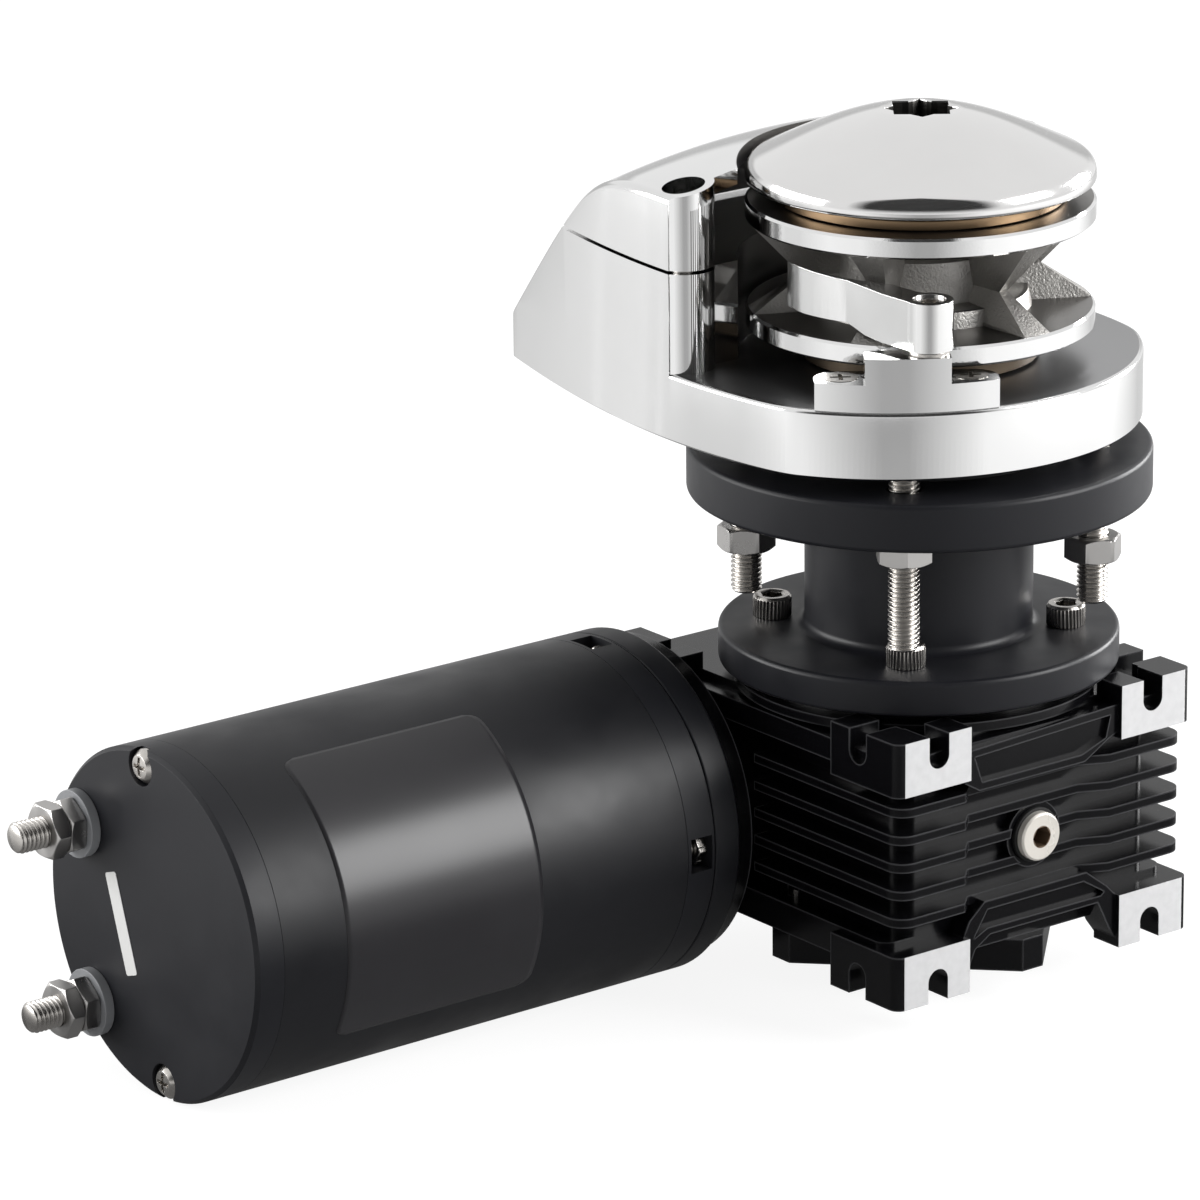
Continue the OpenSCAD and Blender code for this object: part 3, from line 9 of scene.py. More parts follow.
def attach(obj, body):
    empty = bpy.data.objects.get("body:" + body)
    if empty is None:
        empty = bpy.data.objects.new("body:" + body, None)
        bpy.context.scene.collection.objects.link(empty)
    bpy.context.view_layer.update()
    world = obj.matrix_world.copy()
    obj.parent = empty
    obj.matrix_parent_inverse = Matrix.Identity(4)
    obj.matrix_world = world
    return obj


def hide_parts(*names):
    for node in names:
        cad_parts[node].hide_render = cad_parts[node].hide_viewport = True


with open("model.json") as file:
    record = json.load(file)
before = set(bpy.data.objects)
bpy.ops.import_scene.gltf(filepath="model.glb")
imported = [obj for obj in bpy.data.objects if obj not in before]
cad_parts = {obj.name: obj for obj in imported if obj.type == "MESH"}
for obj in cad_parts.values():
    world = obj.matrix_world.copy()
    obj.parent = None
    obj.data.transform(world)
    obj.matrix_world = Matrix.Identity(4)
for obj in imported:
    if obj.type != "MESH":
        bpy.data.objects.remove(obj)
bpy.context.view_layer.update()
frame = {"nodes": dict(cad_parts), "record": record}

MM = 0.001
SCENE = bpy.context.scene
NODES = frame["nodes"]

# The photograph's camera: a long lens, 37 degrees to the left of the front and 18 above
CAMERA_AZIMUTH = math.radians(-37.4558)
CAMERA_HEIGHT = math.radians(17.7863)
CAMERA_ROLL = math.radians(-0.58145)
CAMERA_DISTANCE = 1.74802
CAMERA_SIDE = -0.08097
CAMERA_RISE = -0.0048
CAMERA_AIM_Z = -0.042
FOCAL_PIXELS = 6885.96
IMAGE_PIXELS = 1200
SENSOR = 36

# Deck plate and hood, as part.scad has them
PLATE_T = 17.4 * MM
PLATE_FRONT_R = 64.4 * MM
PLATE_FRONT_C = 12.4 * MM
PLATE_HALF_W = 61 * MM
PLATE_SIDE_Y = 18 * MM
TAIL_HALF_W = 45 * MM
TAIL_CORNER_Y = 110 * MM
TAIL_Y = 117.5 * MM
PIPE_W = 28 * MM
PIPE_L = 44 * MM
PIPE_Y = 84 * MM
RIDGE_Z = 69.4 * MM
SEAM_Z = 43 * MM
SEAM_GAP = 0.9 * MM
CROWN_R = 200 * MM
HOOD_WALL = 4 * MM
HOOD_CLEAR_R = 45.8 * MM
HOOD_FRONT_Y = 24.5 * MM
HOOD_BOSS_R = 7.7 * MM
BOSS_LEFT = Vector((-53.45, 27.7, 0)) * MM
BOSS_RIGHT = Vector((52, 35, 0)) * MM
RECESS_R = 5.4 * MM
RECESS_Z = SEAM_Z + 5 * MM
SCREW_HOLE_R = 3.3 * MM
HOOD_FILLET = 2.2 * MM
PLATE_FILLET = 1.1 * MM
PLATE_CHAMFER = 0.6 * MM
# Top of the cutters that pass out of the hood
ABOVE_HOOD = 90 * MM

# Cap and gypsy
GYPSY_R = 43.9 * MM
CAP_Z = 62.6 * MM
CAP_TOP = 80.6 * MM
CAP_TOP_R = 9.9 * MM
STAR_SIDE = 13.6 * MM
STAR_DEPTH = 11 * MM
# Turns in degrees of the two squares that make the star
STAR_TURNS = (7, 52)
# Radius and height in millimetres along the cap's underside, from the rim in to the roof of its bore
CAP_UNDERSIDE = ((39.9, 62.6), (37.9, 65.6), (16, 68.1), (15, 61.5), (8.05, 61.5), (8.05, 68.6))

# Deck studs
THREAD_R = 4 * MM
STUD_CIRCLE_R = 44 * MM
STUD_ENDS = (-46.5 * MM, 12 * MM)

# Lock nuts on the rear, left and right deck studs: the stud's angle and the nut's own turn, in degrees
LOCK_NUT_ANGLES = ((45, 10), (135, 2), (315, 20))
LOCK_NUT_Z = -35.3 * MM
NUT_FLAT = 13 * MM
NUT_HOLE_R = 3.7 * MM
NUT_H = 6.4 * MM

# Socket head screws of the stand
STAND_SCREW_CIRCLE_R = 37.4 * MM
STAND_SCREW_Z = -53.1 * MM
SCREW_HEAD_R = 5 * MM
SCREW_HEAD_H = 5.8 * MM
SCREW_KEY = 5 * MM
SCREW_R = 3 * MM
SCREW_L = 20.1 * MM

# Motor
MOTOR_AXIS_Y = 40 * MM
MOTOR_AXIS_Z = -98.4 * MM
MOTOR_R = 44.7 * MM
MOTOR_END = 209.6 * MM
MOTOR_TURN = math.radians(-4.3)
TERMINAL_OUT = 28.3 * MM
TERMINAL_RISE = -2.2 * MM
TERMINAL_PITCH = 46 * MM
TERMINAL_ENDS = (-19.6 * MM, 9.9 * MM)

# Gearbox: X and Z of the oil plug's centre, the plug's core, and the front faces of the feet
PLUG = (0.0, -98.4 * MM)
PLUG_CORE_R = 2.9 * MM
FEET_FRONT_Y = -49.9 * MM

FLOOR_Z = -143.4 * MM
LAMP_TARGET = (-0.05, 0, -0.06)


# ---------- mesh helpers ----------

def polar(radius, angle, *z):
    """A point at a radius and an angle, with its height where one is given."""
    return (radius * math.cos(angle), radius * math.sin(angle), *z)


def turns(n):
    """The angles of n points round a circle."""
    return [2 * math.pi * i / n for i in range(n)]


def add_mesh(name, verts, faces):
    mesh = bpy.data.meshes.new(name)
    mesh.from_pydata([tuple(v) for v in verts], [], faces)
    mesh.validate()
    mesh.update()
    bm = bmesh.new()
    bm.from_mesh(mesh)
    bmesh.ops.recalc_face_normals(bm, faces=bm.faces)
    bm.to_mesh(mesh)
    bm.free()
    mesh.polygons.foreach_set("use_smooth", [True] * len(mesh.polygons))
    obj = bpy.data.objects.new(name, mesh)
    SCENE.collection.objects.link(obj)
    return obj


def wall_faces(count, n):
    """Faces round a wall of count rings, each with n points."""
    return [(k * n + i, k * n + (i + 1) % n, (k + 1) * n + (i + 1) % n, (k + 1) * n + i)
            for k in range(count - 1) for i in range(n)]


def grid_faces(rows, columns):
    """Faces of an open sheet of points, given row by row."""
    w = columns + 1
    return [(i * w + j, i * w + j + 1, (i + 1) * w + j + 1, (i + 1) * w + j)
            for i in range(rows) for j in range(columns)]


def stack(name, rings):
    """A closed solid through rings of equally many points, flat at both ends."""
    n = len(rings[0])
    verts = [p for ring in rings for p in ring]
    faces = wall_faces(len(rings), n)
    faces.append(tuple(reversed(range(n))))
    faces.append(tuple(range((len(rings) - 1) * n, len(rings) * n)))
    return add_mesh(name, verts, faces)


def apply_boolean(obj, other, operation, keep=False):
    mod = obj.modifiers.new("cut", "BOOLEAN")
    mod.operation = operation
    mod.object = other
    mod.solver = "EXACT"
    mod.material_mode = "TRANSFER"
    depsgraph = bpy.context.evaluated_depsgraph_get()
    mesh = bpy.data.meshes.new_from_object(obj.evaluated_get(depsgraph))
    obj.modifiers.clear()
    obj.data = mesh
    if not keep:
        bpy.data.objects.remove(other)


def rounded(obj, width, angle=35, flats=False):
    """Rounds the edges; flats keeps the shading of a CAD node's flat faces even."""
    mod = obj.modifiers.new("edges", "BEVEL")
    mod.width = width
    mod.segments = 2
    mod.limit_method = "ANGLE"
    mod.angle_limit = math.radians(angle)
    mod.use_clamp_overlap = True
    mod.harden_normals = not flats
    if flats:
        even = obj.modifiers.new("flats", "WEIGHTED_NORMAL")
        even.mode = "FACE_AREA_WITH_ANGLE"
        even.weight = 50
    return obj


def creased(obj, angle=35):
    """Shades the edges as sharp where they bend more than the angle."""
    bm = bmesh.new()
    bm.from_mesh(obj.data)
    limit = math.radians(angle)
    for edge in bm.edges:
        edge.smooth = len(edge.link_faces) == 2 and edge.calc_face_angle(0) < limit
    bm.to_mesh(obj.data)
    bm.free()
    return obj


def cylinder(name, centre, radius, z0, z1):
    ring = [polar(radius, a) for a in turns(96)]
    return stack(name, [[(centre[0] + x, centre[1] + y, z) for x, y in ring] for z in (z0, z1)])


# ---------- deck plate and hood ----------

def arc(c, r, a0, a1, n):
    """Points of an arc round c, from a0 to a1 degrees."""
    return [Vector((c[0] + r * math.cos(math.radians(a0 + (a1 - a0) * i / n)),
                    c[1] + r * math.sin(math.radians(a0 + (a1 - a0) * i / n)))) for i in range(n + 1)]


def bezier(p, n):
    """Points of the cubic curve with the ends and handles p."""
    p = [Vector(q) for q in p]
    return [(1 - t) ** 3 * p[0] + 3 * (1 - t) ** 2 * t * p[1] + 3 * (1 - t) * t * t * p[2] + t ** 3 * p[3]
            for t in (i / n for i in range(n + 1))]


def plan_half(d):
    """Left half of the plate's outline from the front to the tail, d inside the edge.

    The curves have the handles that part.scad gives them.
    """
    shoulder = 210
    way = Vector((math.cos(math.radians(shoulder)), math.sin(math.radians(shoulder))))
    c = Vector((0, PLATE_FRONT_C))
    p = c + (PLATE_FRONT_R - d) * way
    s = Vector((-(PLATE_HALF_W - d), PLATE_SIDE_Y))
    t = Vector((-(TAIL_HALF_W - d), TAIL_CORNER_Y - 0.6 * d))
    e = Vector((0, TAIL_Y - d))
    ahead = Vector((way.y, -way.x))
    return (arc(c, PLATE_FRONT_R - d, 270, shoulder, 48)
            + bezier([p, p + 8 * MM * ahead, s - Vector((0, 10 * MM)), s], 24)[1:]
            + bezier([s, s + Vector((0, 30 * MM)), t - Vector((8.5 * MM, 29 * MM)), t], 64)[1:]
            + bezier([t, t + Vector((1.8 * MM, 5.5 * MM)), e - Vector((28 * MM, 0.5 * MM)), e], 48)[1:])


def plan(d):
    """The plate's whole outline, d inside the edge."""
    half = plan_half(d)
    return half[:-1] + [Vector((-p.x, p.y)) for p in reversed(half)][:-1]


def ridge_height(y, d):
    """Height of the hood's ridge over y, d inside the top, on the curve of part.scad."""
    line = bezier([(28 * MM, RIDGE_Z - d), (65 * MM, RIDGE_Z - 0.4 * MM - d),
                   (60.3 * MM - d / 2, 65 * MM - d), (TAIL_Y - 1 * MM - d, 11.4 * MM - d)], 80)
    if y <= line[0].x:
        return line[0].y
    for a, b in zip(line, line[1:]):
        if y <= b.x:
            return a.y + (b.y - a.y) * (y - a.x) / (b.x - a.x)
    a, b = line[-2], line[-1]
    return b.y + (b.y - a.y) * (y - b.x) / (b.x - a.x)


def crown_z(x, y, d):
    """Height of the hood's crowned top over x and y, d inside it."""
    return math.sqrt((CROWN_R + ridge_height(y, d)) ** 2 - x * x) - CROWN_R


def hood_form(name, d, fillet, z0):
    """The solid under the crown inside the outline, with a fillet along the crease."""
    outer = plan(d)
    n = len(outer)
    inner = plan(d + fillet) if fillet else outer
    rings = [[(p.x, p.y, z0) for p in outer]]
    steps = 6 if fillet else 0
    for k in range(steps + 1):
        a = math.pi / 2 * k / steps if steps else 0
        into, under = 1 - math.cos(a), fillet * (1 - math.sin(a))
        rings.append([(p.x + (q.x - p.x) * into, p.y + (q.y - p.y) * into, crown_z(q.x, q.y, d) - under)
                      for p, q in zip(outer, inner)])
    verts = [v for ring in rings for v in ring]
    faces = [tuple(reversed(range(n)))] + wall_faces(len(rings), n)
    # The top runs across in rows of constant y, between each left point and its mirror image
    half = n // 2
    base = (len(rings) - 1) * n
    columns = 40
    rows = [[base]]
    for i in range(1, half):
        left, right = base + i, base + n - i
        x0, y0 = verts[left][:2]
        row = [left]
        for c in range(1, columns):
            x = x0 + (-2 * x0) * c / columns
            verts.append((x, y0, crown_z(x, y0, d)))
            row.append(len(verts) - 1)
        rows.append(row + [right])
    rows.append([base + half])
    for a, b in zip(rows, rows[1:]):
        if len(a) == 1:
            faces += [(a[0], b[k + 1], b[k]) for k in range(len(b) - 1)]
        elif len(b) == 1:
            faces += [(b[0], a[k], a[k + 1]) for k in range(len(a) - 1)]
        else:
            faces += [(a[k], a[k + 1], b[k + 1], b[k]) for k in range(len(a) - 1)]
    return add_mesh(name, verts, faces)


def mouth_block(name, z0, z1):
    """Everything behind the hood's mouth: a straight front edge, the left boss and the gypsy's circle."""
    far = 150 * MM
    reach = math.sqrt(HOOD_BOSS_R ** 2 - (BOSS_LEFT.y - HOOD_FRONT_Y) ** 2)
    lean = math.degrees(math.asin((BOSS_LEFT.y - HOOD_FRONT_Y) / HOOD_BOSS_R))
    turn = math.degrees(math.asin(HOOD_FRONT_Y / HOOD_CLEAR_R))
    line = [Vector((-far, far)), Vector((-far, HOOD_FRONT_Y)), Vector((BOSS_LEFT.x - reach, HOOD_FRONT_Y))]
    line += arc(BOSS_LEFT, HOOD_BOSS_R, 180 + lean, 360 - lean, 32)[1:]
    line += arc((0, 0), HOOD_CLEAR_R, 180 - turn, turn, 128)
    line += [Vector((far, HOOD_FRONT_Y)), Vector((far, far))]
    return stack(name, [[(p.x, p.y, z) for p in line] for z in (z0, z1)])


def hood_hollow(finish):
    """What is taken out of the hood: the form inside its walls, without the two bosses."""
    hollow = hood_form("hollow", HOOD_WALL, 0, PLATE_T)
    hollow.data.materials.append(finish)
    for at in (BOSS_LEFT, BOSS_RIGHT):
        apply_boolean(hollow, cylinder("boss", at, HOOD_BOSS_R, 0, ABOVE_HOOD), "DIFFERENCE")
    return hollow


def chain_hole_cutter():
    """A slot with round ends through the plate."""
    half = PIPE_L / 2 - PIPE_W / 2
    line = arc((0, PIPE_Y + half), PIPE_W / 2, 0, 180, 40)
    line += arc((0, PIPE_Y - half), PIPE_W / 2, 180, 360, 40)
    return stack("pipe", [[(p.x, p.y, z) for p in line] for z in (-MM, PLATE_T + MM)])


def deck_plate_mesh(hollow, finish):
    """The base plate with its chamfer and fillet, and the hood's lower casing up to the seam."""
    rings = []
    for d, z in ((PLATE_CHAMFER, 0), (0, PLATE_CHAMFER)):
        rings.append([(p.x, p.y, z) for p in plan(d)])
    steps = 5
    for k in range(steps + 1):
        a = math.pi / 2 * k / steps
        d = PLATE_FILLET * (1 - math.cos(a))
        z = PLATE_T - PLATE_FILLET * (1 - math.sin(a))
        rings.append([(p.x, p.y, z) for p in plan(d)])
    plate = stack("deck_plate_body", rings)
    plate.data.materials.append(finish)
    form = hood_form("tail_trim", 0, HOOD_FILLET, -MM)
    form.data.materials.append(finish)
    apply_boolean(plate, form, "INTERSECT", keep=True)
    apply_boolean(form, mouth_block("mouth", PLATE_T - 3 * MM, SEAM_Z), "INTERSECT")
    apply_boolean(form, hollow, "DIFFERENCE", keep=True)
    apply_boolean(plate, form, "UNION")
    apply_boolean(plate, chain_hole_cutter(), "DIFFERENCE")
    return creased(plate)


def hood_cover_mesh(hollow, finish):
    """The hood above the seam, with its two screw recesses."""
    form = hood_form("hood_cover_body", 0, HOOD_FILLET, PLATE_T)
    form.data.materials.append(finish)
    apply_boolean(form, mouth_block("mouth", SEAM_Z + SEAM_GAP, ABOVE_HOOD), "INTERSECT")
    apply_boolean(form, hollow, "DIFFERENCE", keep=True)
    for at in (BOSS_LEFT, BOSS_RIGHT):
        apply_boolean(form, cylinder("recess", at, RECESS_R, RECESS_Z, ABOVE_HOOD), "DIFFERENCE")
        apply_boolean(form, cylinder("hole", at, SCREW_HOLE_R, SEAM_Z - MM, ABOVE_HOOD), "DIFFERENCE")
    return creased(form)


# ---------- cap ----------

def star_radius(angle):
    """Radius of the socket at an angle: two squares, each with its own turn."""
    radii = []
    for turn in STAR_TURNS:
        a = angle - math.radians(turn)
        radii.append(STAR_SIDE / 2 / max(abs(math.cos(a)), abs(math.sin(a))))
    return max(radii)


def cap_mesh():
    """The cap, turned from one profile, round its star socket."""
    shoulder = (GYPSY_R - 2.4 * MM, CAP_TOP - 12 * MM)
    rim = (GYPSY_R, CAP_Z + 1.4 * MM)
    profile = bezier([(CAP_TOP_R, CAP_TOP), (CAP_TOP_R + 11 * MM, CAP_TOP - 2 * MM),
                      (GYPSY_R - 13 * MM, CAP_TOP - 7 * MM), shoulder], 32)
    profile += bezier([shoulder, (GYPSY_R - 0.8 * MM, CAP_TOP - 12.9 * MM),
                       (GYPSY_R, CAP_Z + 3.8 * MM), rim], 16)[1:]
    profile += bezier([rim, (GYPSY_R, CAP_Z + 0.5 * MM), (GYPSY_R - 0.5 * MM, CAP_Z),
                       (GYPSY_R - 1.4 * MM, CAP_Z)], 6)[1:]
    profile += [Vector(p) * MM for p in CAP_UNDERSIDE]
    angles = turns(720)
    rings = [[polar(star_radius(a) + grow, a, z) for a in angles]
             for z, grow in ((CAP_TOP - STAR_DEPTH, 0), (CAP_TOP - 0.3 * MM, 0), (CAP_TOP, 0.25 * MM))]
    rings += [[polar(p[0], a, p[1]) for a in angles] for p in profile]
    return creased(stack("cap_body", rings))


# ---------- screws and threads ----------

def threaded_rod(name, radius, z0, z1):
    """A threaded rod along Z with a chamfered lower end."""
    pitch, depth, end_chamfer, n = 1.25 * MM, 0.62 * MM, 0.7 * MM, 48
    rows = round((z1 - z0) / pitch * 10)
    rings = []
    for k in range(rows + 1):
        z = z0 + (z1 - z0) * k / rows
        chamfer = max(0, end_chamfer - (z - z0))
        ring = []
        for i, a in enumerate(turns(n)):
            phase = (z / pitch - i / n) % 1
            r = radius - depth * min(1, max(0, abs(2 * phase - 1) * 1.25 - 0.12))
            ring.append(polar(min(r, radius - chamfer), a, z))
        rings.append(ring)
    return stack(name, rings)


def hexagon_radius(flat, angle):
    """Radius at an angle of a hexagon with this width across its flats."""
    return flat / 2 / math.cos((angle % (math.pi / 3)) - math.pi / 6)


def socket_screw(name, head_r, head_h, key_flat, shank_r, shank_l):
    """A knurled socket head screw, its head standing on z = 0."""
    angles = turns(288)
    knurl, teeth, chamfer = 0.34 * MM, 16, 0.4 * MM

    def ring(radius, z, depth=0.0):
        return [polar(radius - depth * abs(math.sin(teeth * a)), a, z) for a in angles]

    def hexagon(flat, z):
        return [polar(hexagon_radius(flat, a), a, z) for a in angles]

    rings = [ring(shank_r, -shank_l), ring(shank_r, 0),
             ring(head_r - chamfer, 0), ring(head_r, chamfer, knurl),
             ring(head_r, head_h - 0.9 * MM, knurl), ring(head_r - 0.1 * MM, head_h - 0.7 * MM),
             ring(head_r - 0.6 * MM, head_h), ring(key_flat / 2 + 0.75 * MM, head_h),
             hexagon(key_flat, head_h - 0.35 * MM), hexagon(key_flat, head_h * 0.42)]
    return stack(name, rings)


def hex_nut(name, flat, hole_r, height):
    """A hexagon nut round the Z axis, its lower face on z = 0, chamfered at both faces and in its hole."""
    n, steps = 144, 5
    angles = turns(n)
    corner = flat / math.sqrt(3)
    face_r = flat / 2 - 0.2 * MM
    rise = (corner - flat / 2) * 0.7
    hole_chamfer = 0.6 * MM

    def circle(radius, z):
        return [polar(radius, a, z) for a in angles]

    def chamfer(k, z):
        limit = face_r + (corner - face_r) * k / steps
        return [polar(min(limit, hexagon_radius(flat, a)), a, z) for a in angles]

    rings = [circle(hole_r + hole_chamfer, 0), circle(face_r, 0)]
    rings += [chamfer(k, rise * k / steps) for k in range(1, steps + 1)]
    rings += [chamfer(k, height - rise * k / steps) for k in range(steps, 0, -1)]
    rings += [circle(face_r, height), circle(hole_r + hole_chamfer, height),
              circle(hole_r, height - hole_chamfer), circle(hole_r, hole_chamfer)]
    verts = [p for ring in rings for p in ring]
    faces = [tuple(v % len(verts) for v in face) for face in wall_faces(len(rings) + 1, n)]
    return creased(add_mesh(name, verts, faces), 25)


def copies(name, make, places):
    """One piece made of the same form at several places."""
    parts = []
    for k, place in enumerate(places):
        part = make(f"{name}_{k}")
        part.data.transform(place)
        parts.append(part)
    bm = bmesh.new()
    for part in parts:
        bm.from_mesh(part.data)
        bpy.data.objects.remove(part)
    mesh = bpy.data.meshes.new(name)
    bm.to_mesh(mesh)
    bm.free()
    obj = bpy.data.objects.new(name, mesh)
    SCENE.collection.objects.link(obj)
    return obj


def on_circle(radius, z):
    """The four places of a square of fasteners."""
    return [Matrix.Translation(polar(radius, math.radians(a), z)) for a in (45, 135, 225, 315)]


def motor_point(dy, dz, x):
    """A place on the motor: dy and dz from its axis before its turn about it."""
    c, s = math.cos(MOTOR_TURN), math.sin(MOTOR_TURN)
    return Vector((x, MOTOR_AXIS_Y + dy * c - dz * s, MOTOR_AXIS_Z + dz * c + dy * s))


# ---------- labels ----------

def motor_label():
    """A blank label on the barrel with rounded corners."""
    x0, x1 = -183 * MM, -124 * MM
    a0, a1 = math.radians(113), math.radians(213)
    corner, film = 4 * MM, 0.05 * MM
    rows, columns = 96, 40
    radius = MOTOR_R + film + 0.01 * MM
    length = (a1 - a0) * radius
    verts = []
    for i in range(rows + 1):
        along = length * i / rows
        into = max(0, corner - min(along, length - along))
        pull = corner - math.sqrt(max(0, corner * corner - into * into))
        a = a0 + (a1 - a0) * i / rows
        for j in range(columns + 1):
            x = (x0 + pull) + (x1 - x0 - 2 * pull) * j / columns
            verts.append((x, MOTOR_AXIS_Y + radius * math.cos(a), MOTOR_AXIS_Z + radius * math.sin(a)))
    obj = add_mesh("motor_label", verts, grid_faces(rows, columns))
    mod = obj.modifiers.new("thickness", "SOLIDIFY")
    mod.thickness = film
    mod.offset = -1
    return obj


def voltage_strip():
    """The blank strip between the terminals."""
    half_l, half_w, thickness, corner = 13 * MM, 2.4 * MM, 0.18 * MM, 0.72 * MM
    line = []
    for k, (x, y) in enumerate(((1, 1), (-1, 1), (-1, -1), (1, -1))):
        line += arc((x * (half_l - corner), y * (half_w - corner)), corner, 90 * k, 90 * k + 90, 8)
    obj = stack("strip", [[(p.x, p.y, z) for p in line] for z in (0, thickness)])
    lean = math.radians(18.5)
    along = Vector((0, math.sin(lean), math.cos(lean)))
    out = Vector((-1, 0, 0))
    side = out.cross(along)
    place = Matrix((along, side, out)).transposed().to_4x4()
    centre = Vector((-MOTOR_END - 0.01 * MM, MOTOR_AXIS_Y + 13.4 * MM, MOTOR_AXIS_Z - 3.3 * MM))
    obj.data.transform(Matrix.Translation(centre) @ place)
    return rounded(obj, 0.05 * MM)


# ---------- materials ----------

class Shader:
    """A material's node tree, with short names for what is used again and again."""

    def __init__(self, name):
        self.material = bpy.data.materials.new(name)
        self.material.use_nodes = True
        self.tree = self.material.node_tree
        self.bsdf = self.tree.nodes["Principled BSDF"]

    def node(self, kind, **settings):
        made = self.tree.nodes.new(kind)
        for key, value in settings.items():
            if key in made.inputs:
                made.inputs[key].default_value = value
            else:
                setattr(made, key, value)
        return made

    def link(self, a, b):
        self.tree.links.new(a, b)

    def place(self):
        return self.node("ShaderNodeTexCoord").outputs["Object"]

    def noise(self, scale, detail=3.0, stretch=(1, 1, 1)):
        mapping = self.node("ShaderNodeMapping")
        mapping.inputs["Scale"].default_value = stretch
        self.link(self.place(), mapping.inputs["Vector"])
        noise = self.node("ShaderNodeTexNoise", Scale=scale, Detail=detail)
        self.link(mapping.outputs[0], noise.inputs["Vector"])
        return noise.outputs["Fac"]

    def span(self, value, low, high, start=0.0, end=1.0):
        spread = self.node("ShaderNodeMapRange")
        spread.inputs["From Min"].default_value = start
        spread.inputs["From Max"].default_value = end
        spread.inputs["To Min"].default_value = low
        spread.inputs["To Max"].default_value = high
        self.link(value, spread.inputs["Value"])
        return spread.outputs["Result"]

    def blend(self, factor, a, b):
        mix = self.node("ShaderNodeMix", data_type="RGBA")
        self.link(factor, mix.inputs["Factor"])
        for value, socket in ((a, mix.inputs["A"]), (b, mix.inputs["B"])):
            if hasattr(value, "links"):
                self.link(value, socket)
            else:
                socket.default_value = (*value, 1)
        return mix.outputs["Result"]

    def bump(self, height, distance, strength):
        self.relief = self.node("ShaderNodeBump", Strength=strength, Distance=distance)
        self.link(height, self.relief.inputs["Height"])
        self.link(self.relief.outputs["Normal"], self.bsdf.inputs["Normal"])

    def surface(self, colour, rough, metallic=0.0):
        for value, socket in ((colour, "Base Color"), (rough, "Roughness"), (metallic, "Metallic")):
            target = self.bsdf.inputs[socket]
            if hasattr(value, "links"):
                self.link(value, target)
            elif socket == "Base Color":
                target.default_value = (*value, 1)
            else:
                target.default_value = value


STEEL = (0.73, 0.73, 0.728)
CAP_STEEL = (0.71, 0.705, 0.70)
SATIN = (0.30, 0.30, 0.305)
# How far the roughness spreads round its value, and the part of the noise that it spreads over
METAL_SPREAD = (0.41, 1.64)
PAINT_SPREAD = (0.63, 1.42)
NOISE_SPAN = (0.05, 0.95)
# What is left of the relief on a machined or worn part of a surface
MASKED_RELIEF = 0.05


def tones(colour, change):
    """A darker and a lighter tone of a colour."""
    return tuple(c * (1 - change) for c in colour), tuple(min(1, c * (1 + change)) for c in colour)


def grained(name, colour, rough, vary, grain, depth, soft, spread, strength, stretch=(1, 1, 1), metallic=0.0):
    """A surface with soft changes of tone and gloss, and a fine grain."""
    s = Shader(name)
    change = s.noise(*soft)
    fine = s.noise(grain, 2, stretch)
    s.surface(s.blend(change, *tones(colour, vary)),
              s.span(change, rough * spread[0], rough * spread[1], *NOISE_SPAN), metallic)
    s.bump(fine, depth, strength)
    return s


def metal(name, colour, rough, vary, grain, depth, stretch=(1, 1, 1)):
    return grained(name, colour, rough, vary, grain, depth, (60, 4), METAL_SPREAD, 0.35, stretch, 1.0)


def paint(name, colour, rough, specular, grain, depth, vary=0.15):
    s = grained(name, colour, rough, vary, grain, depth, (45, 3), PAINT_SPREAD, 0.5)
    s.bsdf.inputs["Specular IOR Level"].default_value = specular
    return s


def masked(s, mask, colour, rough, metallic=1.0):
    """Adds a second finish where the mask is 1."""
    base = s.bsdf.inputs["Base Color"].links[0].from_socket
    s.link(s.blend(mask, base, colour), s.bsdf.inputs["Base Color"])
    old = s.bsdf.inputs["Roughness"].links[0].from_socket
    mix = s.node("ShaderNodeMix", data_type="FLOAT")
    s.link(mask, mix.inputs["Factor"])
    s.link(old, mix.inputs["A"])
    mix.inputs["B"].default_value = rough
    s.link(mix.outputs["Result"], s.bsdf.inputs["Roughness"])
    level = s.bsdf.inputs["Metallic"].default_value
    if level != metallic:
        s.link(s.span(mask, level, metallic), s.bsdf.inputs["Metallic"])
    strength = s.relief.inputs["Strength"]
    if strength.is_linked:
        old = strength.links[0].from_socket
        s.link(math_node(s, "MULTIPLY", old, s.span(mask, 1, MASKED_RELIEF)), strength)
    else:
        full = strength.default_value
        s.link(s.span(mask, full, full * MASKED_RELIEF), strength)


def math_node(s, operation, a, b):
    node = s.node("ShaderNodeMath", operation=operation)
    for value, socket in ((a, node.inputs[0]), (b, node.inputs[1])):
        if hasattr(value, "links"):
            s.link(value, socket)
        else:
            socket.default_value = value
    return node.outputs[0]


def component(s, vector, axis):
    split = s.node("ShaderNodeSeparateXYZ")
    s.link(vector, split.inputs[0])
    return split.outputs[axis]


def coordinate(s, axis):
    return component(s, s.place(), axis)


def facing_z(s):
    return component(s, s.node("ShaderNodeTexCoord").outputs["Normal"], "Z")


def length_of(s, parts):
    """Length of the vector with these two components."""
    squares = [math_node(s, "POWER", part, 2) for part in parts]
    return math_node(s, "SQRT", math_node(s, "ADD", *squares), 0)


def axis_distance(s):
    """Distance from the main shaft's axis."""
    return length_of(s, [coordinate(s, axis) for axis in "XY"])


def both(s, first, second):
    """1 where both masks are 1."""
    return math_node(s, "MULTIPLY", first, second)


def polished_steel():
    return metal("polished_steel", STEEL, 0.1, 0.03, 1400, 0.000004).material


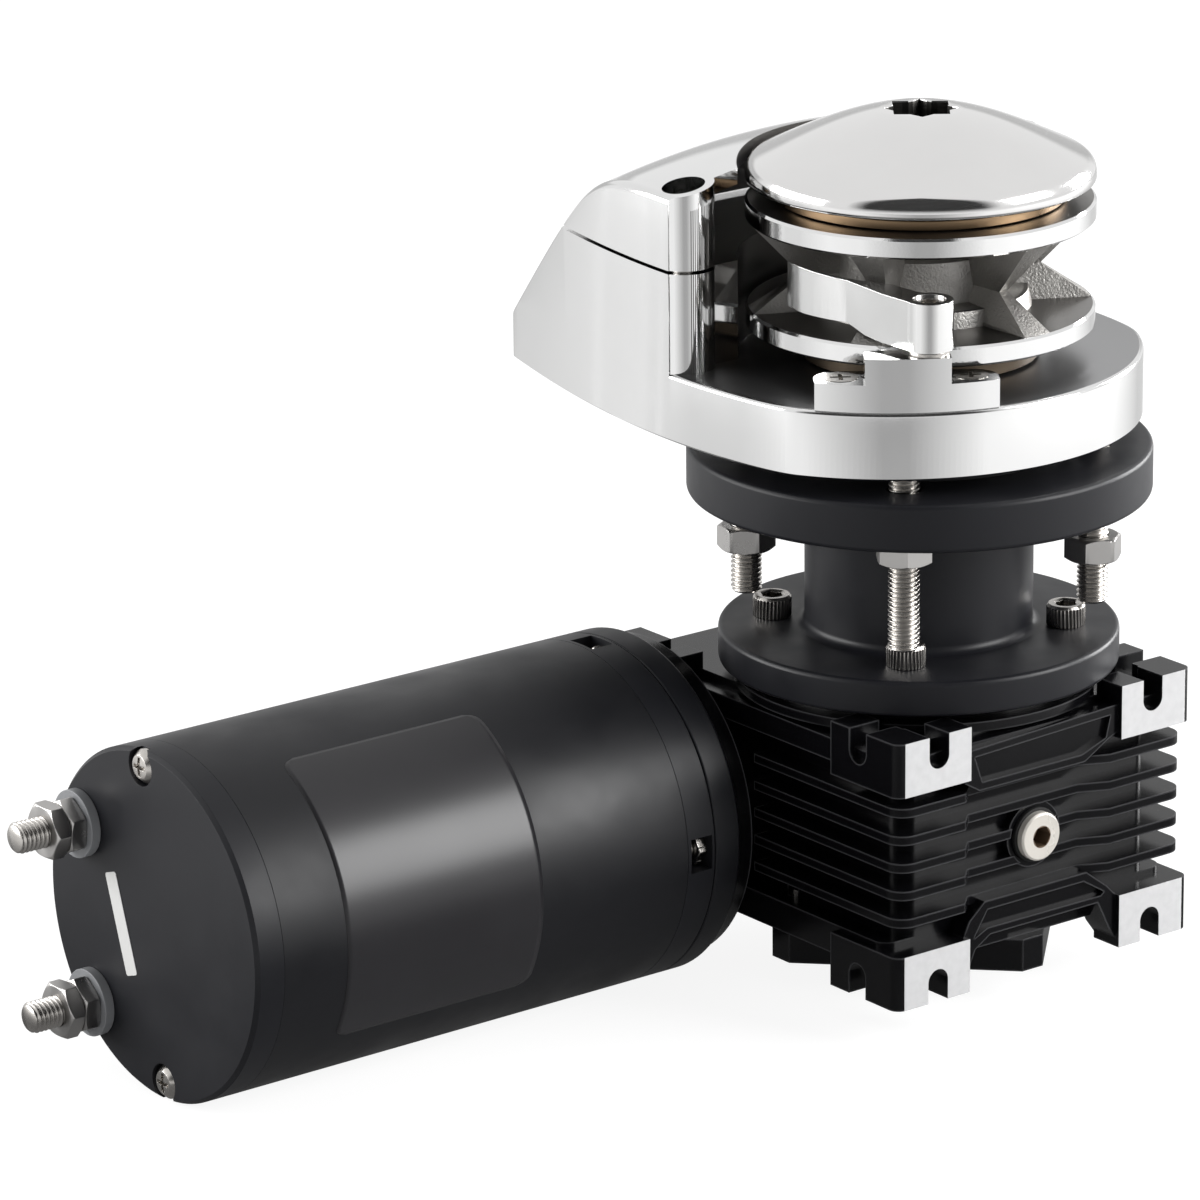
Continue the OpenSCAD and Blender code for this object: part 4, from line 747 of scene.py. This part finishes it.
def plate_steel():
    """Polished sides round a satin top, and round the gypsy in the hood's mouth a dull cast wall, its dark
    colour painted shade.
    """
    s = metal("plate_steel", STEEL, 0.09, 0.03, 1400, 0.000004)
    level = math_node(s, "GREATER_THAN", facing_z(s), 0.995)
    low = math_node(s, "LESS_THAN", coordinate(s, "Z"), PLATE_T + 0.2 * MM)
    masked(s, both(s, level, low), SATIN, 0.34)
    # Painted shade: the wall in the hood's mouth is dull cast steel, and its dark colour stands in for the
    # shade that falls there.
    above = math_node(s, "GREATER_THAN", coordinate(s, "Z"), PLATE_T + 0.25 * MM)
    mouth = math_node(s, "LESS_THAN", axis_distance(s), HOOD_CLEAR_R + 0.15 * MM)
    masked(s, both(s, above, mouth), (0.12, 0.115, 0.11), 0.42)
    return s.material


def edge_wear_and_painted_highlight(s, radius):
    """1 along outer edges, where the paint is worn thin and where a painted highlight stands in for the light
    that they catch.
    """
    bevel = s.node("ShaderNodeBevel", samples=6)
    bevel.inputs["Radius"].default_value = radius
    dot = s.node("ShaderNodeVectorMath", operation="DOT_PRODUCT")
    s.link(bevel.outputs["Normal"], dot.inputs[0])
    s.link(s.node("ShaderNodeNewGeometry").outputs["Normal"], dot.inputs[1])
    open_side = s.node("ShaderNodeAmbientOcclusion", samples=6, only_local=True)
    open_side.inputs["Distance"].default_value = 3 * MM
    return both(s, s.span(dot.outputs["Value"], 1, 0, 0.9, 0.99),
                s.span(open_side.outputs["AO"], 0, 1, 0.72, 0.92))


def cap_steel():
    """Polished, with the star socket rough as it was broached, and dark inside as painted shade."""
    s = metal("cap_steel", CAP_STEEL, 0.09, 0.03, 1400, 0.000004)
    # Painted shade: the inside of the star socket is made dark because the recess is in shade; its roughness
    # is the broached finish.
    inside = math_node(s, "LESS_THAN", axis_distance(s), CAP_TOP_R - 0.05 * MM)
    below = math_node(s, "LESS_THAN", coordinate(s, "Z"), CAP_TOP - 0.35 * MM)
    masked(s, both(s, inside, below), (0.05, 0.048, 0.045), 0.45)
    return s.material


def gypsy_steel():
    """Blasted casting with machined flange faces and polished rims."""
    s = metal("gypsy_steel", (0.36, 0.35, 0.335), 0.46, 0.35, 1500, 0.00022)
    s.relief.inputs["Strength"].default_value = 0.9
    radius = axis_distance(s)
    level = math_node(s, "GREATER_THAN", math_node(s, "ABSOLUTE", facing_z(s), 0), 0.97)
    flange = math_node(s, "GREATER_THAN", radius, 26 * MM)
    masked(s, both(s, level, flange), (0.19, 0.183, 0.175), 0.3)
    rim = math_node(s, "GREATER_THAN", radius, GYPSY_R - 0.7 * MM)
    masked(s, rim, STEEL, 0.07)
    return s.material


def plug_steel():
    """A bright turned plug with a tarnished hexagon in it."""
    s = metal("plug_steel", (0.66, 0.63, 0.58), 0.3, 0.1, 900, 0.00003)
    s.bsdf.inputs["Metallic"].default_value = 0.35
    across = math_node(s, "SUBTRACT", coordinate(s, "X"), PLUG[0])
    up = math_node(s, "SUBTRACT", coordinate(s, "Z"), PLUG[1])
    core = math_node(s, "LESS_THAN", length_of(s, (across, up)), PLUG_CORE_R)
    masked(s, core, (0.12, 0.08, 0.05), 0.5, 0.35)
    return s.material


def housing_paint():
    """Gloss black on the casting, lightened along its edges as worn paint and painted highlight, with the
    machined front faces of the feet left bright.
    """
    s = paint("housing_paint", (0.0028, 0.0028, 0.0034), 0.2, 0.24, 300, 0.00003)
    # Painted highlight: the outer edges are lightened, partly as worn paint and partly for the light that
    # they catch.
    edges = edge_wear_and_painted_highlight(s, 0.9 * MM)
    base = s.bsdf.inputs["Base Color"].links[0].from_socket
    s.link(s.blend(edges, base, (0.05, 0.05, 0.053)), s.bsdf.inputs["Base Color"])
    front = math_node(s, "LESS_THAN", coordinate(s, "Y"), FEET_FRONT_Y)
    masked(s, front, s.blend(s.noise(420, 4), (0.43, 0.43, 0.435), (0.55, 0.55, 0.555)), 0.5, 0.0)
    return s.material


def label_film():
    """Smooth film, more even in its gloss than the paint under it."""
    s = paint("label_film", (0.017, 0.0165, 0.0185), 0.3, 0.36, 1800, 0.00001)
    s.link(s.span(s.noise(45, 3), 0.285, 0.325, *NOISE_SPAN), s.bsdf.inputs["Roughness"])
    return s.material


# Name, colour, roughness, change of tone, grain and its depth, and for some the grain's stretch
METALS = (
    ("fastener_steel", (0.50, 0.48, 0.455), 0.24, 0.15, 900, 0.00002),
    ("nut_steel", (0.44, 0.43, 0.42), 0.3, 0.1, 1200, 0.00001),
    ("arm_steel", (0.72, 0.72, 0.715), 0.14, 0.05, 1400, 0.000006),
    ("bearing_steel", (0.72, 0.73, 0.74), 0.15, 0.05, 900, 0.00001),
    ("bronze", (0.27, 0.185, 0.11), 0.33, 0.15, 900, 0.00002),
    # The lower cone's bronze is darkened as painted shade, for the shade under the gypsy's lower flange.
    ("cone_bronze", (0.07, 0.055, 0.04), 0.5, 0.2, 900, 0.00002),
    # Dull cast steel for the hood's insides and the chain stripper, darkened partly as painted shade.
    ("inner_cast", (0.16, 0.155, 0.148), 0.5, 0.2, 1500, 0.00008),
    ("lamination", (0.3, 0.31, 0.32), 0.4, 0.1, 1500, 0.0001, (8, 0.2, 0.2)),
    ("copper", (0.6, 0.28, 0.14), 0.35, 0.2, 700, 0.0002, (6, 0.4, 0.4)),
)

# Name, colour, roughness, specular level, grain and its depth, and for some the change of tone
PAINTS = (
    ("black_aluminium", (0.0085, 0.0088, 0.0112), 0.42, 0.25, 2600, 0.00001),
    ("black_steel", (0.0075, 0.0077, 0.0095), 0.42, 0.27, 2200, 0.00001),
    ("grey_polymer", (0.21, 0.215, 0.225), 0.4, 0.4, 900, 0.00002),
    ("brown_polymer", (0.16, 0.09, 0.05), 0.5, 0.4, 900, 0.00003),
    ("gasket_rubber", (0.012, 0.012, 0.012), 0.6, 0.3, 900, 0.00005),
    ("magnet", (0.06, 0.06, 0.065), 0.5, 0.4, 700, 0.00006),
    ("carbon", (0.03, 0.03, 0.03), 0.6, 0.3, 900, 0.00004),
    ("white_film", (0.56, 0.56, 0.55), 0.5, 0.3, 900, 0.00002, 0.03),
)


def build_materials():
    made = {
        "polished_steel": polished_steel(),
        "cap_steel": cap_steel(),
        "plate_steel": plate_steel(),
        "cast_steel": gypsy_steel(),
        "black_casting": housing_paint(),
        "plug_steel": plug_steel(),
        "label_film": label_film(),
    }
    for make, rows in ((metal, METALS), (paint, PAINTS)):
        for row in rows:
            made[row[0]] = make(*row).material
    return made


# ---------- the scene ----------

def set_camera():
    back = Vector((math.sin(CAMERA_AZIMUTH) * math.cos(CAMERA_HEIGHT),
                   -math.cos(CAMERA_AZIMUTH) * math.cos(CAMERA_HEIGHT), math.sin(CAMERA_HEIGHT)))
    right = Vector((math.cos(CAMERA_AZIMUTH), math.sin(CAMERA_AZIMUTH), 0))
    up = back.cross(right)
    c, s = math.cos(CAMERA_ROLL), math.sin(CAMERA_ROLL)
    place = back * CAMERA_DISTANCE + right * CAMERA_SIDE + up * CAMERA_RISE + Vector((0, 0, CAMERA_AIM_Z))
    camera = bpy.data.objects.new("camera", bpy.data.cameras.new("camera"))
    SCENE.collection.objects.link(camera)
    turn = Matrix((c * right + s * up, -s * right + c * up, back)).transposed().to_4x4()
    camera.matrix_world = Matrix.Translation(place) @ turn
    camera.data.sensor_width = SENSOR
    camera.data.lens = SENSOR * FOCAL_PIXELS / IMAGE_PIXELS
    camera.data.clip_end = 20
    SCENE.camera = camera


def seen_ray(tree):
    """1 for rays that show the background: camera, glossy and transmission rays."""
    path = tree.nodes.new("ShaderNodeLightPath")
    total = path.outputs["Is Camera Ray"]
    for name in ("Is Glossy Ray", "Is Transmission Ray"):
        node = tree.nodes.new("ShaderNodeMath")
        node.operation = "MAXIMUM"
        tree.links.new(total, node.inputs[0])
        tree.links.new(path.outputs[name], node.inputs[1])
        total = node.outputs[0]
    return total


def set_world(fill):
    """A white background, and a world of strength fill for all other rays."""
    world = bpy.data.worlds.new("studio")
    SCENE.world = world
    world.use_nodes = True
    tree = world.node_tree
    background = tree.nodes["Background"]
    background.inputs["Color"].default_value = (1, 1, 1, 1)
    spread = tree.nodes.new("ShaderNodeMapRange")
    spread.inputs["To Min"].default_value = fill
    spread.inputs["To Max"].default_value = 1
    tree.links.new(seen_ray(tree), spread.inputs["Value"])
    tree.links.new(spread.outputs["Result"], background.inputs["Strength"])


def matt(name, low, high):
    """A grey without gloss, between two tones."""
    s = Shader(name)
    s.surface(s.blend(s.noise(3), (low,) * 3, (high,) * 3), 0.9)
    s.bsdf.inputs["Specular IOR Level"].default_value = 0
    return s


def mixed(s, share, first, second):
    """The material's surface is first, and second by the share."""
    mix = s.node("ShaderNodeMixShader")
    s.link(share, mix.inputs[0])
    s.link(first.outputs[0], mix.inputs[1])
    s.link(second.outputs[0], mix.inputs[2])
    s.link(mix.outputs[0], s.tree.nodes["Material Output"].inputs["Surface"])


def add_floor():
    """A pale floor that mostly glows for rays that show the background, and keeps the shadow."""
    size = 8
    corners = [(x * size, y * size, FLOOR_Z) for x, y in ((-1, -1), (1, -1), (1, 1), (-1, 1))]
    floor = add_mesh("floor", corners, [(0, 1, 2, 3)])
    s = matt("floor", 0.80, 0.84)
    glow = s.node("ShaderNodeEmission", Strength=1.19)
    mixed(s, s.span(seen_ray(s.tree), 0, 0.75), s.bsdf, glow)
    floor.data.materials.append(s.material)


def add_softbox(name, place, width, height, power):
    light = bpy.data.lights.new(name, "AREA")
    light.shape = "RECTANGLE"
    light.size = width
    light.size_y = height
    light.energy = power
    obj = bpy.data.objects.new(name, light)
    SCENE.collection.objects.link(obj)
    obj.location = place
    obj.rotation_euler = (Vector(LAMP_TARGET) - Vector(place)).to_track_quat("-Z", "Y").to_euler()
    obj.visible_camera = False


def reflected_card(card, fade, grey):
    """A dark card that only reflections see; fade says how much of it is there at each place."""
    s = matt(card.name, grey, grey * 1.2)
    mixed(s, fade(s), s.node("ShaderNodeBsdfTransparent"), s.bsdf)
    card.data.materials.append(s.material)
    card.visible_camera = False
    card.visible_shadow = False
    card.visible_diffuse = False
    card.visible_transmission = False


def turn_from(s, azimuth):
    """How far a place lies to either side of an azimuth."""
    here = math_node(s, "ARCTAN2", coordinate(s, "Y"), coordinate(s, "X"))
    return math_node(s, "ABSOLUTE", math_node(s, "SUBTRACT", here, azimuth), 0)


def sky_patch(name, azimuth, angles, grey, most=1.0):
    """A dark card on a sphere round the object, with soft rims, for the steel to reflect.

    The angles, in degrees, are half its width, its lower and upper elevation, and its soft rim.
    """
    half_width, low, high, soft = (math.radians(a) for a in angles)
    distance, columns, rows = 1.15, 32, 20
    centre = Vector((0, 0, 0.06))
    verts = []
    for i in range(rows + 1):
        elevation = low + (high - low) * i / rows
        for j in range(columns + 1):
            a = azimuth - half_width + 2 * half_width * j / columns
            verts.append(centre + distance * Vector(polar(math.cos(elevation), a, math.sin(elevation))))
    card = add_mesh(name, verts, grid_faces(rows, columns))

    def fade(s):
        rise = math_node(s, "DIVIDE", math_node(s, "SUBTRACT", coordinate(s, "Z"), centre.z), distance)
        elevation = math_node(s, "ARCSINE", rise, 0)
        sides = s.span(turn_from(s, azimuth), most, 0, half_width - soft, half_width)
        under = s.span(elevation, 0, 1, low, low + soft)
        over = s.span(elevation, 1, 0, high - soft / 2, high)
        return both(s, sides, both(s, under, over))

    reflected_card(card, fade, grey)


def floor_sector(name, azimuth, half_width, inner, outer, most):
    """A grey card on the floor, darkest along its middle line; half_width is in degrees."""
    spread, rows, flat_middle = math.radians(half_width), 24, 0.1
    verts = []
    for i in range(rows + 1):
        a = azimuth - spread + 2 * spread * i / rows
        verts += [polar(r, a, FLOOR_Z + 1 * MM) for r in (inner, outer)]
    card = add_mesh(name, verts, grid_faces(rows, 1))

    def fade(s):
        return s.span(turn_from(s, azimuth), most, 0, flat_middle, spread)

    reflected_card(card, fade, 0.05)


def floor_round(name, centre, radius, soft, most):
    """A dark round card under the object, a painted shade on the floor that only reflections see, for the
    gloss of its black parts.
    """
    ring = [polar(radius, a) for a in turns(64)]
    verts = [(centre[0] + x, centre[1] + y, FLOOR_Z + 0.5 * MM) for x, y in ring]
    card = add_mesh(name, verts, [tuple(range(len(verts)))])

    def fade(s):
        away = [math_node(s, "SUBTRACT", coordinate(s, axis), c) for axis, c in zip("XY", centre)]
        return s.span(length_of(s, away), most, 0, radius - soft, radius)

    reflected_card(card, fade, 0.03)


def dress_cad(materials):
    """Gives every CAD node its finish, and rounds its edges by a width in millimetres."""
    usual = 0.2
    edge = {"gear_housing": 0.8, "bottom_cover": 0.5, "gypsy_lower": 0.5, "pressure_arm": 0.9,
            "arm_bracket": 1.2, "stand": 0.5, "chain_stripper": 0.5, "motor_adaptor": 0.3, "front_bell": 0.3,
            "rear_cap": 0.4}
    crisp = ("gypsy_upper",)
    # The lower cone gets bronze darkened as painted shade, and the chain stripper a dull cast finish darkened
    # partly as painted shade.
    special = {"lower_cone": "cone_bronze", "chain_stripper": "inner_cast", "oil_plug": "plug_steel",
               "pressure_arm": "arm_steel", "deck_nuts": "nut_steel", "terminal_nuts": "nut_steel"}
    for part in frame["record"]["subparts"]:
        node = NODES[part["node"]]
        node.data.materials.clear()
        node.data.materials.append(materials[special.get(part["node"], part["material_slot"])])
        node.data.polygons.foreach_set("use_smooth", [True] * len(node.data.polygons))
        weld = node.modifiers.new("weld", "WELD")
        weld.merge_threshold = 0.002 * MM
        if part["node"] in crisp:
            split = node.modifiers.new("crisp", "EDGE_SPLIT")
            split.split_angle = math.radians(30)
        else:
            rounded(node, edge.get(part["node"], usual) * MM, flats=True)


def put(obj, material, slot, body, *nodes):
    """Gives a piece its material, its body and the nodes that it replaces; the slot is not used."""
    if material:
        obj.data.materials.clear()
        obj.data.materials.append(material)
    obj.data.polygons.foreach_set("use_smooth", [True] * len(obj.data.polygons))
    if nodes:
        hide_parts(*nodes)
    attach(obj, body)


def build_pieces(materials):
    # The hood's insides take dull cast steel, darkened partly as painted shade.
    hollow = hood_hollow(materials["inner_cast"])
    plate = deck_plate_mesh(hollow, materials["plate_steel"])
    cover = hood_cover_mesh(hollow, materials["plate_steel"])
    bpy.data.objects.remove(hollow)
    put(rounded(plate, 0.35 * MM), None, "polished_steel", "frame", "deck_plate")
    put(rounded(cover, 0.35 * MM), None, "polished_steel", "frame", "hood_cover")
    put(cap_mesh(), materials["cap_steel"], "polished_steel", "cap", "cap")
    studs = copies("deck_stud_threads", lambda n: threaded_rod(n, THREAD_R, *STUD_ENDS),
                   on_circle(STUD_CIRCLE_R, 0))
    put(studs, materials["fastener_steel"], "fastener_steel", "frame", "deck_studs")
    places = [Matrix.Translation(polar(STUD_CIRCLE_R, math.radians(a), LOCK_NUT_Z))
              @ Matrix.Rotation(math.radians(a + turn), 4, "Z") for a, turn in LOCK_NUT_ANGLES]
    nuts = copies("stud_lock_nuts", lambda n: hex_nut(n, NUT_FLAT, NUT_HOLE_R, NUT_H), places)
    put(nuts, materials["nut_steel"], "fastener_steel", "frame")
    screws = copies("stand_screw_heads",
                    lambda n: socket_screw(n, SCREW_HEAD_R, SCREW_HEAD_H, SCREW_KEY, SCREW_R, SCREW_L),
                    on_circle(STAND_SCREW_CIRCLE_R, STAND_SCREW_Z))
    rounded(screws, 0.08 * MM, 50)
    put(screws, materials["fastener_steel"], "fastener_steel", "frame", "stand_screws")
    turn = Matrix.Rotation(math.radians(90), 4, "Y")
    centres = [motor_point(TERMINAL_OUT, TERMINAL_RISE + side * TERMINAL_PITCH / 2, -MOTOR_END)
               for side in (-1, 1)]
    places = [Matrix.Translation(centre) @ turn for centre in centres]
    terminals = copies("terminal_threads", lambda n: threaded_rod(n, THREAD_R, *TERMINAL_ENDS), places)
    put(terminals, materials["fastener_steel"], "fastener_steel", "frame", "terminal_studs")
    put(motor_label(), materials["label_film"], "black_steel", "frame")
    put(voltage_strip(), materials["white_film"], "grey_polymer", "frame")


def light_scene():
    set_world(0.45)
    add_floor()
    for name, place, width, height, power in (("right_box", (0.82, -1.1, 0.55), 0.8, 0.8, 25),
                                              ("low_box", (1.4, -0.05, 0.3), 0.6, 0.7, 25),
                                              ("left_box", (-1.1, 0.85, 0.25), 1.2, 0.6, 18)):
        add_softbox(name, place, width, height, power)
    to_camera = CAMERA_AZIMUTH - math.pi / 2
    sky_patch("front_card", to_camera, (50, -6, 94, 12), 0.03)
    floor_sector("camera_floor_card", to_camera, 40, 0.12, 1.4, 0.6)
    for name, azimuth, half_width, inner, outer, most in (("tail_floor_card", 80, 46, 0.3, 1.4, 0.42),
                                                          ("hood_floor_card", 140, 30, 0.25, 1.4, 0.28),
                                                          ("right_floor_card", 22, 36, 0.14, 1.5, 0.45)):
        floor_sector(name, math.radians(azimuth), half_width, inner, outer, most)
    sky_patch("tail_card", math.radians(66), (40, -9, 15, 9), 0.03, 0.4)
    # Painted shade: a dark card under the object stands in, for reflections, for the shade on the floor
    # beneath it.
    floor_round("floor_shade_card", (-0.05, -0.02), 0.36, 0.14, 0.8)


set_camera()
materials = build_materials()
dress_cad(materials)
build_pieces(materials)
light_scene()
SCENE.view_settings.view_transform = "Standard"
